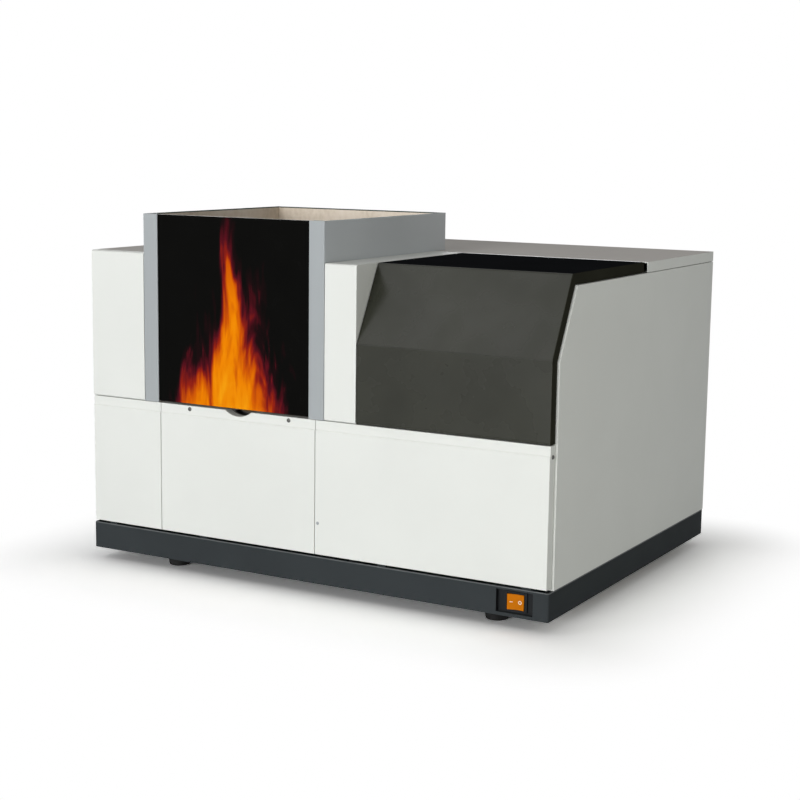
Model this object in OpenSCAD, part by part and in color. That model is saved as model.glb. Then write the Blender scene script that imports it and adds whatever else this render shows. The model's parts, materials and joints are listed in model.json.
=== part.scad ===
// Bench-top flame atomic absorption spectrometer.
// A white sheet-metal cabinet stands on a dark base. A grey flame duct with a sliding glass shield
// rises through its top, and a dark hinged hood closes the lamp compartment on the right.
// Millimetres, +Z up, front towards -Y, origin on the floor under the middle of the cabinet.

/* [Cabinet] */
// Width over the side panels
body_w = 706; // [690:1:760]
// Depth from the front panels to the rear edge
body_d = 550; // [540:1:600]
// Height of the dark base
base_h = 37; // [35:1:50]
// Height from the base to the seam above the lower front panels
lower_h = 181; // [176:1:200]
// Height from that seam to the cabinet top
upper_h = 203; // [195:1:230]
// Thickness of the cabinet sheet metal
sheet = 1.5; // [1:0.1:2]
// Width of the side panels' front edge that stays in sight
side_reveal = 3; // [2.5:0.5:6]
// Depth of the folded returns on front panels, hood and top cover
lap = 14; // [12:0.5:16]
// Seam between neighbouring covers
seam = 0.8; // [0.6:0.1:0.9]
// Shadow gap between base and front panels
base_gap = 3; // [2:0.5:6]
// How far the rear panel is set in
rear_recess = 42; // [40:1:50]

/* [Base and feet] */
// Thickness of the base sheet
base_t = 2; // [1.5:0.1:3]
// Height of the rubber feet
foot_h = 17; // [15:1:25]
// Diameter of the rubber feet
foot_d = 32; // [28:1:40]
// Left feet, from the left side
foot_left_inset = 120; // [70:1:150]
// Right feet, from the right side
foot_right_inset = 88; // [70:1:150]
// Feet, from the front and rear edges
foot_inset = 40; // [35:1:60]

/* [Front panels] */
// Width of the left panel
left_panel_w = 117; // [100:1:120]
// Width of the burner panel
burner_panel_w = 250; // [240:1:260]
// Height of the set-back band along the panel tops
band_h = 12; // [11:1:16]
// How far the band is set back
band_step = 1.5; // [1:0.1:2]
// Width of the finger notch in the burner panel
notch_w = 44; // [36:1:50]
// Depth of the finger notch
notch_depth = 8; // [6:0.5:9]
// How far the notch and its screws sit to the right of the burner panel's middle
notch_shift = 3.5; // [0:0.5:8]
// Spacing of the two burner panel screws
screw_pitch = 160; // [120:1:180]

/* [Flame duct] */
// Flame duct, from the left side of the cabinet
duct_inset = 94; // [88:1:104]
// Width of the duct
duct_w = 289; // [280:1:300]
// Depth of the duct
duct_d = 324; // [310:1:330]
// Rise of the duct above the cabinet top
duct_rise = 53; // [40:1:80]
// Width of the front stiles that guide the glass
stile_w = 23; // [20:1:26]
// Gap between duct wall and heat liner
liner_gap = 3; // [2:0.5:5]
// Thickness of the heat liner and the burner tub
liner_t = 1; // [0.8:0.1:1.5]
// Thickness of the shield glass
glass_t = 4; // [3:0.5:5]
// Running clearance of the glass in its channels
glass_clear = 0.5; // [0.3:0.1:0.8]
// Height of the channel stop that the glass rests on
stop_h = 2; // [1.5:0.5:4]

/* [Lamp hood] */
// Width of the white column beside the duct
column_w = 48; // [45:1:60]
// Height of the hood's upright front
knee_h = 103; // [90:1:115]
// How far the hood slopes back
slope_back = 52; // [40:1:65]
// Depth from the front to the hood's rear edge
hood_depth = 284; // [275:1:290]
// Thickness of the hood
hood_t = 2.5; // [2:0.1:3]
// Radius of the hood's hinge barrel
hinge_r = 2.5; // [2.2:0.1:3]
// Radius of the hinge pin
hinge_pin_r = 1.2; // [1:0.1:1.4]
// Number of hinge knuckles
knuckles = 7; // [5:2:11]

/* [Power switch] */
// Middle of the switch recess, from the right side
switch_inset = 46; // [40:1:70]
// Width of the recess
recess_w = 50; // [46:1:56]
// Height of the recess
recess_h = 29; // [27:0.5:30]
// Depth of the recess
recess_depth = 6; // [5:0.5:10]
// Width of the switch bezel
bezel_w = 31; // [30:0.5:36]
// Height of the switch bezel
bezel_h = 25.6; // [24:0.1:26]
// Width of the rocker
rocker_w = 22.5; // [20:0.5:24]
// Height of the rocker
rocker_h = 19.5; // [18:0.5:20]
// Tilt of the rocker either side of level
rocker_tilt = 7; // [5:0.5:9]

/* [Burner] */
// Height of the light beam above the panel seam
beam_rise = 64; // [60:1:75]
// Beam clearance above the burner top
beam_over_burner = 12; // [8:1:16]
// Length of the burner head
burner_l = 120; // [110:1:130]
// Width of the burner head
burner_w = 26; // [22:1:30]
// Length of the burner slot
slot_l = 100; // [50:1:104]
// Width of the burner slot
slot_w = 0.6; // [0.4:0.1:1]
// Diameter of the spray chamber
chamber_d = 64; // [58:1:66]
// Length of the spray chamber
chamber_l = 116; // [110:1:124]
// Outer diameter of the burner neck
neck_d = 36; // [32:1:38]
// Travel of the burner height and fore-aft slides, each way
burner_travel = 8; // [6:0.5:8]
// Module of the small racks and pinions
rack_module = 0.8; // [0.8:0.1:0.9]
// Teeth on the small pinions
rack_teeth = 18; // [18:1:20]
// Diameter of the adjuster knobs
knob_d = 30; // [26:1:32]

/* [Lamp turret] */
// Number of lamps
lamp_count = 6; // [4:1:6]
// Diameter of a lamp
lamp_d = 37; // [34:0.5:38]
// Clearance between the column and the lamp ends
lamp_gap = 31; // [20:1:37]
// Radius of the lamp circle
lamp_circle = 48; // [46:1:50]
// Diameter of the turret shaft
turret_shaft_d = 12; // [10:1:14]
// Module of the turret gears
gear_module = 1.5; // [1.4:0.1:1.5]
// Teeth on the turret gear
gear_teeth = 60; // [54:2:60]
// Teeth on the motor pinion
pinion_teeth = 18; // [18:1:20]

/* [Monochromator] */
// Height of the optical deck below the panel seam
deck_drop = 24; // [20:1:30]
// Thickness of the optical deck
deck_t = 4; // [3:0.5:6]
// Height of the monochromator housing
mono_h = 92; // [88:1:100]
// Wall of the monochromator housing
mono_wall = 5; // [4:0.5:6]
// Length of the sine arm that turns the grating
sine_arm = 80; // [75:1:85]

/* [Rear fittings] */
// Outer diameter of the hose spigots
spigot_d = 9; // [6:0.5:12]
// Length of the hose spigots behind the rear panel
spigot_l = 30; // [20:1:38]
// Size of the square cooling fan
fan_size = 60; // [50:10:70]

/* [Hidden] */
$fn = 64;
run_clear = 0.05;   // radial clearance of a shaft in its bore
slide_clear = 0.3;  // clearance between sliding or neighbouring bodies
pressure_angle = 20;
backlash = 0.15;    // thinning of each gear tooth at the pitch line
bend_r = 3;         // outer radius of sheet bends

// Main planes of the cabinet
left_x = -body_w / 2;
right_x = body_w / 2;
front_y = -body_d / 2;
rear_y = body_d / 2;
inner_left = left_x + side_reveal;
inner_right = right_x - side_reveal;
base_top = foot_h + base_h;
base_floor = foot_h + base_t;
seam_z = base_top + lower_h;
top_z = seam_z + upper_h;
duct_top = top_z + duct_rise;
panel_bottom = base_top + base_gap;
panel_top = seam_z - seam / 2;
upper_bottom = seam_z + seam / 2;
return_y = front_y + lap;            // rear edge of the front returns
side_front = return_y + seam;        // front edge of the side panels
side_top = top_z - lap - seam;       // upper edge of the side panels
rear_panel_y = rear_y - rear_recess; // rear face of the rear panel
split_1 = inner_left + left_panel_w;
split_2 = split_1 + burner_panel_w;
notch_x = (split_1 + split_2) / 2 + notch_shift;
notch_r = (notch_w * notch_w / 4 + notch_depth * notch_depth) / (2 * notch_depth);

// Flame duct and burner compartment
duct_l = left_x + duct_inset;
duct_r = duct_l + duct_w;
duct_rear = front_y + duct_d;
liner_in = sheet + liner_gap;        // duct face to liner
glass_front = front_y + sheet + glass_clear;
glass_rear = glass_front + glass_t;
guide_y = glass_rear + glass_clear;  // front of the rear channel lip
glass_bottom = upper_bottom + stop_h + slide_clear;
glass_top = duct_top - 0.4;
rail_d = 20;
rail_h = 30;
rail_rear = return_y + rail_d;
tub_flange_z = upper_bottom - sheet;
tub_floor = base_top + 17;
tub_l = duct_l + liner_in;
tub_r = duct_r - liner_in;
tub_rear = duct_rear - liner_in;
tub_front = rail_rear + 1;
burner_x = (duct_l + duct_r) / 2;
burner_y = front_y + duct_d / 2;
beam_z = seam_z + beam_rise;
burner_top = beam_z - beam_over_burner;

// Column, hood and top cover
column_r = duct_r + column_w;
hood_l = column_r + seam;
hood_r = inner_right;
hood_rear = front_y + hood_depth;
hinge_y = hood_rear + hinge_r + 0.5;
hinge_z = top_z - hinge_r;
cover_y = hinge_y + hinge_r + 0.7;
knee_z = seam_z + knee_h;
deck_z = seam_z - deck_drop;
deck_l = duct_r + 3;
deck_r = inner_right - 2;
deck_front = rail_rear + 2;
deck_rear = rear_panel_y - sheet - 5;

// Lamp turret: the lamp at the front of the circle lies on the beam
turret_y = burner_y + lamp_circle;
motor_l = 34;
motor_gap = 22;                      // motor to the hood's right side
stand_t = 6;
stand_x = inner_right - motor_gap - motor_l - stand_t;
turret_gear_x = stand_x - 14;
lamp_base_x = turret_gear_x - 45;
lamp_x = column_r + lamp_gap;
lamp_l = lamp_base_x - lamp_x;
lamp_base_d = lamp_d - 3;
gear_r = gear_module * gear_teeth / 2;
pinion_r = gear_module * pinion_teeth / 2;
motor_y = turret_y + gear_r + pinion_r;

// Monochromator on the rear of the deck
mono_l = duct_r + 13;
mono_r = deck_r - 14;
mono_front = duct_rear + 6;
mono_rear = deck_rear - 3;
mono_bottom = beam_z - 50;
mono_top = mono_bottom + mono_h;
mono_floor = mono_bottom + mono_wall;
mono_d = mono_rear - mono_front;
grating_x = mono_l + 55;
grating_y = (mono_front + mono_rear) / 2;
slit_in_y = grating_y - 0.285 * mono_d;
slit_out_y = grating_y + 0.285 * mono_d;
table_z = mono_floor + 13;

// Burner carriage
rack_r = rack_module * rack_teeth / 2;
rail_top = tub_floor + 13;
carriage_z = tub_floor + 5 + slide_clear;
carriage_top = carriage_z + 20;
carriage_half_w = 32;
carriage_half_l = 40;
chamber_z = burner_top - 106;
chamber_front = burner_y + 36 - chamber_l;
chamber_bottom = chamber_z - chamber_d / 2;
column_y = burner_y + 22;
elevator_top = chamber_bottom - 4;
elevator_bottom = elevator_top - 36;
elevator_half_w = 24;
height_rack_z = (elevator_bottom + elevator_top) / 2;
height_shaft_x = burner_x + elevator_half_w + 4 - rack_module + rack_r;
fore_aft_x = burner_x - carriage_half_w - 4 + rack_module - rack_r;
knob_shaft_d = 6;

// Helper functions for profiles

function unit(v) = v / norm(v);
function reversed(points) = [for (i = [len(points) - 1:-1:0]) points[i]];

// The points of an arc that rounds corner p between a and b
function corner(a, p, b, r, steps = 5) =
    let (u = unit(a - p), w = unit(b - p), half = acos(u * w) / 2)
    let (centre = p + unit(u + w) * r / sin(half))
    let (s = p + u * r / tan(half) - centre, e = p + w * r / tan(half) - centre)
    let (start = atan2(s.y, s.x), sweep = (atan2(e.y, e.x) - start + 540) % 360 - 180)
    [for (i = [0:steps]) centre + r * [cos(start + sweep * i / steps), sin(start + sweep * i / steps)]];

// An open path with its inner corners rounded
function rounded_path(points, r) = [
    for (i = [0:len(points) - 1])
        each (i == 0 || i == len(points) - 1 || r <= 0) ? [points[i]]
            : corner(points[i - 1], points[i], points[i + 1], r)];

// An open path moved sideways by d, to its left where d is positive
function shifted_path(points, d) =
    let (last = len(points) - 1)
    let (normals = [for (i = [0:last - 1]) let (v = unit(points[i + 1] - points[i])) [-v.y, v.x]])
    [for (i = [0:last])
        let (a = normals[max(i - 1, 0)], b = normals[min(i, last - 1)], m = unit(a + b))
        points[i] + m * d / (m * a)];

// A closed outline of a folded sheet: the path and its copy one thickness to the right
function folded(points, t, r) = concat(rounded_path(points, r),
    reversed(rounded_path(shifted_path(points, -t), r - t)));

function rounded_box(lo, hi, r) =
    let (p = [lo, [hi.x, lo.y], hi, [lo.x, hi.y]])
    [for (i = [0:3]) each corner(p[(i + 3) % 4], p[i], p[(i + 1) % 4], r)];

// Helper shapes

module slab(lo, hi) { translate(lo) cube(hi - lo); }
module rod_x(x0, x1, y, z, d) { translate([x0, y, z]) rotate([0, 90, 0]) cylinder(d = d, h = x1 - x0); }
module rod_y(y0, y1, x, z, d) { translate([x, y0, z]) rotate([-90, 0, 0]) cylinder(d = d, h = y1 - y0); }
module rod_z(z0, z1, x, y, d) { translate([x, y, z0]) cylinder(d = d, h = z1 - z0); }
// Extrudes a (y, z) outline along X, an (x, z) outline along Y, or an (x, y) outline along Z
module along_x(x0, x1) { translate([x0, 0, 0]) rotate([90, 0, 90]) linear_extrude(x1 - x0) children(); }
module along_y(y0, y1) { translate([0, y1, 0]) rotate([90, 0, 0]) linear_extrude(y1 - y0) children(); }
module along_z(z0, z1) { translate([0, 0, z0]) linear_extrude(z1 - z0) children(); }

// Involute gear teeth

function involute(base_r, roll) = base_r * [cos(roll) + roll * PI / 180 * sin(roll),
    sin(roll) - roll * PI / 180 * cos(roll)];
function roll_at(base_r, r) = sqrt(max(r * r / (base_r * base_r) - 1, 0)) * 180 / PI;
function turned(p, angle) = [p.x * cos(angle) - p.y * sin(angle), p.x * sin(angle) + p.y * cos(angle)];

// Outline of an involute gear with a tooth on its +X axis
function gear_outline(m, teeth, steps = 4) =
    let (pitch_r = m * teeth / 2, base_r = pitch_r * cos(pressure_angle))
    let (outer_r = pitch_r + 0.9 * m, root_r = pitch_r - 1.25 * m, start_r = max(base_r, root_r))
    let (at_pitch = roll_at(base_r, pitch_r), p = involute(base_r, at_pitch), lead = atan2(p.y, p.x))
    let (half = 90 / teeth - backlash / 2 / pitch_r * 180 / PI)
    let (flank = [for (i = [0:steps])
        let (r = start_r + (outer_r - start_r) * i / steps)
        turned(involute(base_r, roll_at(base_r, r)), -half - lead)])
    let (foot = root_r * unit(flank[0]))
    let (side = concat([foot], flank), other = [for (q = reversed(side)) [q.x, -q.y]])
    [for (k = [0:teeth - 1]) each [for (q = concat(side, other)) turned(q, 360 * k / teeth)]];

// Outline of a rack with its tips on y = 0, its back on y = -back, and a tooth in its middle
function rack_outline(m, length, back) =
    let (pitch = PI * m, count = floor(length / pitch / 2))
    let (tip = pitch / 4 - backlash / 2 - 0.9 * m * tan(pressure_angle), depth = 2.15 * m)
    let (root = tip + depth * tan(pressure_angle))
    concat([[-length / 2, -back], [-length / 2, -depth]],
        [for (k = [-count + 1:count - 1])
            each [[k * pitch - root, -depth], [k * pitch - tip, 0],
                [k * pitch + tip, 0], [k * pitch + root, -depth]]],
        [[length / 2, -depth], [length / 2, -back]]);

// Screws: each entry is its head's seat, the turn that points it inwards, and its shank length

screw_r = 1.75;
screw_head_r = 2.8;
screw_head_h = 1.4;
band_face = front_y + band_step;
panel_screws = [for (s = [-1, 1])
    [[notch_x + s * screw_pitch / 2, band_face, panel_top - 4.5], [-90, 0, 0], lap + 6]];
return_screws = [
    [[inner_right, return_y - 6, panel_top - 14], [0, -90, 0], 8],
    [[inner_left, return_y - 6, panel_top - 14], [0, 90, 0], 8]];
rear_screws = [for (s = [-1, 1], z = [base_top + 30, (base_top + top_z) / 2, side_top - 30])
    [[s * (right_x - 12), rear_panel_y, z], [90, 0, 0], 8]];
screw_list = concat(panel_screws, return_screws, rear_screws);
foot_x = [left_x + foot_left_inset, right_x - foot_right_inset];
feet = [for (x = foot_x, y = [front_y + foot_inset, rear_y - foot_inset]) [x, y]];
foot_screw_z = 8;   // seat of the screw head inside a foot

module screw_holes() {
    for (s = screw_list) translate(s[0]) rotate(s[1]) translate([0, 0, -1])
        cylinder(r = screw_r + 2 * run_clear, h = s[2] + 2);
}

module screws() {
    color("silver") {
        for (s = screw_list) translate(s[0]) rotate(s[1]) {
            translate([0, 0, -screw_head_h])
                cylinder(r1 = screw_head_r - 0.8, r2 = screw_head_r, h = screw_head_h);
            cylinder(r = screw_r, h = s[2]);
        }
        for (f = feet) {
            rod_z(foot_screw_z - 3, foot_screw_z, f.x, f.y, 9);
            rod_z(foot_screw_z, base_floor + 6, f.x, f.y, 5);
        }
    }
}

// Base

base_front = front_y + 1;
switch_x = right_x - switch_inset;
recess_z = foot_h + base_h / 2 + 0.3;
recess_back = base_front + recess_depth;

module base_tray() {
    half_w = body_w / 2;
    color("#363a3c") difference() {
        union() {
            difference() {
                along_z(foot_h, base_top)
                    polygon(rounded_box([-half_w, base_front], [half_w, rear_y], 3));
                along_z(base_floor, base_top + 1)
                    polygon(rounded_box([-half_w + base_t, base_front + base_t],
                        [half_w - base_t, rear_y - base_t], 1.5));
            }
            slab([-half_w + base_t, rear_panel_y - 3 * sheet, base_top - base_t],
                [half_w - base_t, rear_y - base_t, base_top]);
            slab([switch_x - recess_w / 2 - base_t, base_front + base_t, base_floor],
                [switch_x + recess_w / 2 + base_t, recess_back + base_t, base_top]);
            for (x = [inner_left + 30, notch_x - 60, split_2 + 100, inner_right - 28])
                slab([x - 6, base_front + base_t, base_floor], [x + 6, base_front + 6, panel_bottom]);
        }
        slab([switch_x - recess_w / 2, base_front - 1, recess_z - recess_h / 2],
            [switch_x + recess_w / 2, recess_back, recess_z + recess_h / 2]);
        switch_body(0.3);
        for (f = feet) rod_z(foot_h - 1, base_floor + 1, f.x, f.y, 5.4);
        for (i = [-4:4]) slab([i * 40 - 4, rear_y / 2 - 60, foot_h - 1],
            [i * 40 + 4, rear_y / 2 + 20, base_floor + 1]);
    }
}

module rubber_feet() {
    profile = concat([[2.7, foot_h], [2.7, foot_screw_z], [6, foot_screw_z], [6, 0]],
        corner([6, 0], [foot_d / 2 - 2, 0], [foot_d / 2, foot_h], 3), [[foot_d / 2, foot_h]]);
    color("#151515") for (f = feet) translate([f.x, f.y, 0]) rotate_extrude() polygon(profile);
}

// Power switch: a bezel and body in the recess, and a rocker on trunnions

bezel_t = 2.4;
bezel_front = recess_back - bezel_t;
pivot_y = bezel_front + 4.2;
trunnion_d = 3;

module switch_body(grow) {
    slab([switch_x - bezel_w / 2 + 2 - grow, recess_back - 1, recess_z - bezel_h / 2 + 2 - grow],
        [switch_x + bezel_w / 2 - 2 + grow, recess_back + 22, recess_z + bezel_h / 2 - 2 + grow]);
}

module switch_housing() {
    gap = 0.9;
    color("#1b1c1d") difference() {
        union() {
            switch_body(0);
            along_y(bezel_front, recess_back)
                polygon(rounded_box([switch_x - bezel_w / 2, recess_z - bezel_h / 2],
                    [switch_x + bezel_w / 2, recess_z + bezel_h / 2], 1.5));
        }
        slab([switch_x - rocker_w / 2 - gap, bezel_front - 1, recess_z - rocker_h / 2 - slide_clear],
            [switch_x + rocker_w / 2 + gap, pivot_y + 9, recess_z + rocker_h / 2 + slide_clear]);
        rod_z(recess_z - rocker_h / 2 - 1.5, recess_z + rocker_h / 2 + 1.5, switch_x, pivot_y,
            trunnion_d + 2 * run_clear);
    }
}

module power_rocker() {
    half = rocker_w / 2;
    face = [[-half, 0], [-half + 0.4, -6.2], [0, -4.4], [half - 0.4, -6.2], [half, 0], [3, 5], [-3, 5]];
    color("#e07f10") {
        translate([switch_x, pivot_y, recess_z - rocker_h / 2]) rotate([0, 0, rocker_tilt])
            linear_extrude(rocker_h) polygon(face);
        rod_z(recess_z - rocker_h / 2 - 1.2, recess_z + rocker_h / 2 + 1.2, switch_x, pivot_y, trunnion_d);
    }
}

// Front panels: folded trays with a set-back band along the top

function panel_path() = [[return_y, panel_bottom], [front_y, panel_bottom],
    [front_y, panel_top - band_h - band_step], [front_y + band_step, panel_top - band_h],
    [front_y + band_step, panel_top], [return_y, panel_top]];

module front_tray(x0, x1) {
    color("#f2f3f0") {
        along_x(x0, x1) polygon(concat(reversed(shifted_path(panel_path(), -sheet)), panel_path()));
        for (x = [x0, x1 - sheet]) along_x(x, x + sheet) polygon(panel_path());
    }
}

module finger_notch() {
    rod_y(front_y - 1, rail_rear + 1, notch_x, panel_top - notch_depth + notch_r, 2 * notch_r);
}

module front_panel_left() {
    difference() {
        front_tray(inner_left, split_1 - seam / 2);
        screw_holes();
    }
}

module front_panel_burner() {
    difference() {
        front_tray(split_1 + seam / 2, split_2 - seam / 2);
        finger_notch();
        screw_holes();
    }
}

module front_panel_right() {
    difference() {
        front_tray(split_2 + seam / 2, inner_right);
        screw_holes();
    }
}

// Box-section rail behind the panel tops, with pads that the panel screws pull against
module front_rail() {
    x0 = left_x + sheet;
    x1 = right_x - sheet;
    color("#c9cccd") difference() {
        union() {
            difference() {
                slab([x0, side_front + sheet, tub_flange_z - rail_h], [x1, rail_rear, tub_flange_z]);
                slab([x0 + 2, side_front + sheet + 2, tub_flange_z - rail_h + 2],
                    [x1 - 2, rail_rear - 2, tub_flange_z - 2]);
            }
            slab([split_1 - 8, return_y, tub_flange_z - rail_h],
                [split_2 + 8, side_front + sheet, tub_flange_z]);
            for (s = panel_screws) rod_y(band_face + sheet, return_y + 1, s[0].x, s[0].z, 5.4);
        }
        finger_notch();
        screw_holes();
    }
}

// Upper covers

module upper_shell(x0, x1, rear) {
    path = [[return_y, upper_bottom], [front_y, upper_bottom], [front_y, top_z], [rear, top_z]];
    along_x(x0, x1) polygon(folded(path, sheet, bend_r));
}

module left_upper_cover() {
    x1 = duct_l - seam;
    color("#f2f3f0") {
        upper_shell(inner_left, x1, return_y);
        for (x = [inner_left, x1 - sheet]) along_x(x, x + sheet)
            polygon(rounded_path([[return_y, upper_bottom], [front_y, upper_bottom],
                [front_y, top_z], [return_y, top_z]], bend_r));
    }
}

module beam_hole(x0, x1, d) { rod_x(x0, x1, burner_y, beam_z, d); }

module centre_column() {
    rear = cover_y - seam;
    color("#f2f3f0") difference() {
        union() {
            upper_shell(duct_r + seam, column_r, rear);
            along_x(column_r - sheet, column_r)
                polygon(rounded_path([[rear, upper_bottom], [front_y, upper_bottom],
                    [front_y, top_z], [rear, top_z]], bend_r));
            slab([column_r - sheet, rail_rear + 2, deck_z], [column_r, rear, upper_bottom + 1]);
        }
        beam_hole(column_r - sheet - 1, column_r + 1, 44);
    }
}

// Outline that the hood, the column and the side panels share, from the base up and back
function hood_path(z0) =
    [[front_y, z0], [front_y, knee_z], [front_y + slope_back, top_z], [hood_rear, top_z]];

module side_skin(sign, edge) {
    flange_y = rear_panel_y - 2 * sheet;
    path = concat(edge, [[flange_y, side_top]]);
    module skin(depth) {
        mirror([sign > 0 ? 0 : 1, 0, 0]) along_x(body_w / 2 - depth, body_w / 2) children();
    }
    difference() {
        union() {
            skin(sheet) polygon(concat(path, [[rear_y, side_top], [rear_y, base_top]]));
            skin(20) polygon(concat(path, reversed(shifted_path(path, -sheet))));
            skin(20) polygon([[flange_y, base_top + 4], [flange_y, side_top - 4],
                [flange_y + sheet, side_top - 4], [flange_y + sheet, base_top + 4]]);
        }
        screw_holes();
    }
}

module left_side_panel() {
    color("#f2f3f0") side_skin(-1, [[side_front, base_top], [side_front, side_top]]);
}

module right_side_panel() {
    color("#f2f3f0") side_skin(1, shifted_path(hood_path(base_top), -lap - seam));
}

// The top cover runs round the duct and behind the hood, with skirts on three sides
module top_cover() {
    left_front = return_y + seam;
    plan = [[left_x, left_front], [duct_l - seam, left_front], [duct_l - seam, duct_rear + seam],
        [duct_r + seam, duct_rear + seam], [duct_r + seam, cover_y], [right_x, cover_y], [right_x, rear_y],
        [left_x, rear_y]];
    color("#f2f3f0") {
        along_z(top_z - sheet, top_z) polygon(plan);
        slab([left_x, left_front, top_z - lap], [left_x + sheet, rear_y, top_z]);
        slab([right_x - sheet, cover_y, top_z - lap], [right_x, rear_y, top_z]);
        slab([left_x, rear_y - sheet, top_z - lap], [right_x, rear_y, top_z]);
    }
}

// Rear panel with its cutouts

inlet_x = right_x - 60;
inlet_z = base_top + 45;
port_x = inlet_x - 50;
fan_x = port_x - 55;
fan_z = base_top + 75;
fitting_z = base_top + 55;
fitting_x = [duct_l + 60, duct_l + 110, duct_l + 160];

module rear_panel() {
    color("#eceeec") difference() {
        slab([left_x + sheet, rear_panel_y - sheet, base_top],
            [right_x - sheet, rear_panel_y, top_z - sheet]);
        slab([inlet_x - 14, rear_panel_y - 5, inlet_z - 10.5],
            [inlet_x + 14, rear_panel_y + 1, inlet_z + 10.5]);
        slab([port_x - 6.5, rear_panel_y - 5, inlet_z - 6], [port_x + 6.5, rear_panel_y + 1, inlet_z + 6]);
        for (x = fitting_x) rod_y(rear_panel_y - 5, rear_panel_y + 1, x, fitting_z, spigot_d + 0.6);
        for (i = [-2:2], k = [-2:2]) if (abs(i) + abs(k) < 4)
            rod_y(rear_panel_y - 5, rear_panel_y + 1, fan_x + i * 10, fan_z + k * 10, 8);
        for (i = [0:13]) slab([duct_l + 20 + i * 14, rear_panel_y - 5, top_z - 90],
            [duct_l + 26 + i * 14, rear_panel_y + 1, top_z - 40]);
        screw_holes();
    }
}

// Flame duct: three walls and two channel stiles; a thin liner stands inside it

module flame_duct() {
    color("#adb2b4") difference() {
        union() {
            for (x = [duct_l, duct_r - sheet])
                slab([x, front_y, upper_bottom], [x + sheet, duct_rear, duct_top]);
            slab([duct_l, duct_rear - sheet, upper_bottom], [duct_r, duct_rear, duct_top]);
            for (x = [duct_l, duct_r - stile_w])
                slab([x, front_y, upper_bottom], [x + stile_w, front_y + sheet, duct_top]);
            for (x = [duct_l, duct_r - stile_w + 3])
                slab([x, guide_y, upper_bottom], [x + stile_w - 3, guide_y + sheet, duct_top]);
            for (x = [duct_l, duct_r - stile_w + 2])
                slab([x, front_y, upper_bottom], [x + stile_w - 2, guide_y + sheet, upper_bottom + stop_h]);
        }
        beam_hole(duct_l - 1, duct_l + sheet + 1, 44);
        beam_hole(duct_r - sheet - 1, duct_r + 1, 44);
    }
}

module duct_liner() {
    liner_front = guide_y + sheet + 1;
    liner_top = duct_top - 1.5;
    color("#c8b9a5") difference() {
        union() {
            for (x = [tub_l, tub_r - liner_t])
                slab([x, liner_front, upper_bottom], [x + liner_t, tub_rear, liner_top]);
            slab([tub_l, tub_rear - liner_t, upper_bottom], [tub_r, tub_rear, liner_top]);
        }
        beam_hole(tub_l - 1, tub_l + liner_t + 1, 44);
        beam_hole(tub_r - liner_t - 1, tub_r + 1, 44);
    }
}

// Burner compartment below the duct, hung on the rail by its flange
module burner_tub() {
    under = tub_floor - liner_t;
    color("#b9bab8") {
        for (x = [tub_l, tub_r - liner_t]) slab([x, tub_front, under],
            [x + liner_t, tub_rear, upper_bottom]);
        slab([tub_l, tub_rear - liner_t, under], [tub_r, tub_rear, upper_bottom]);
        slab([tub_l, tub_front, under], [tub_r, tub_rear, tub_floor]);
        slab([tub_l, tub_front, under], [tub_r, tub_front + liner_t, tub_floor + 12]);
        difference() {
            slab([duct_l, rail_rear - 8, tub_flange_z], [duct_r, duct_rear, upper_bottom]);
            slab([tub_l, rail_rear - 9, tub_flange_z - 1], [tub_r, tub_rear, upper_bottom + 1]);
        }
    }
}

module flame_shield() {
    color("#101010") slab([duct_l + sheet + 1, glass_front, glass_bottom],
        [duct_r - sheet - 1, glass_rear, glass_top]);
}

// Lift bar behind the lower edge of the glass, reached through the finger notch
module shield_lift_bar() {
    bar = [[glass_rear, glass_bottom], [glass_rear + 9, glass_bottom], [glass_rear + 9, glass_bottom + 5],
        [glass_rear + 2, glass_bottom + 5], [glass_rear + 2, glass_bottom + 14],
        [glass_rear, glass_bottom + 14]];
    color("#3a3c3d") along_x(duct_l + stile_w + 4, duct_r - stile_w - 4) polygon(bar);
}

// Lamp hood and its hinge

module lamp_hood() {
    path = hood_path(upper_bottom);
    bend = 4;
    rim = concat(rounded_path(path, bend), reversed(shifted_path(path, -lap)));
    color("#3f403c") {
        along_x(hood_l, hood_r) polygon(folded(concat([[front_y + 10, upper_bottom]], path), hood_t, bend));
        for (x = [hood_l, hood_r - hood_t]) along_x(x, x + hood_t) polygon(rim);
    }
}

hinge_l = hood_l + 6;
knuckle_l = (hood_r - 6 - hinge_l) / knuckles;
leaf_t = 1.2;

module knuckle_row(first) {
    for (i = [first:2:knuckles - 1])
        rod_x(hinge_l + i * knuckle_l + 0.2, hinge_l + (i + 1) * knuckle_l - 0.2,
            hinge_y, hinge_z, 2 * hinge_r);
}

module hood_hinge_leaf() {
    under = top_z - hood_t;
    color("#8a8d8f") difference() {
        union() {
            slab([hinge_l, hood_rear - 16, under - leaf_t], [hood_r - 6, hood_rear, under]);
            for (i = [1:2:knuckles - 1])
                slab([hinge_l + i * knuckle_l + 0.2, hood_rear - 2, under - leaf_t],
                    [hinge_l + (i + 1) * knuckle_l - 0.2, hinge_y, under]);
            knuckle_row(1);
        }
        rod_x(hinge_l - 1, hood_r, hinge_y, hinge_z, 2 * (hinge_pin_r + run_clear));
    }
}

module frame_hinge_leaf() {
    under = top_z - sheet;
    color("#8a8d8f") {
        slab([hinge_l, cover_y, under - leaf_t], [hood_r - 6, cover_y + 16, under]);
        for (i = [0:2:knuckles - 1])
            slab([hinge_l + i * knuckle_l + 0.2, hinge_y, under - leaf_t],
                [hinge_l + (i + 1) * knuckle_l - 0.2, cover_y + 2, under]);
        knuckle_row(0);
        rod_x(hinge_l + 0.2, hood_r - 6.2, hinge_y, hinge_z, 2 * hinge_pin_r);
    }
}

// Burner adjusters: a fore-aft carriage on a dovetail rail carries a height slide

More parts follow.
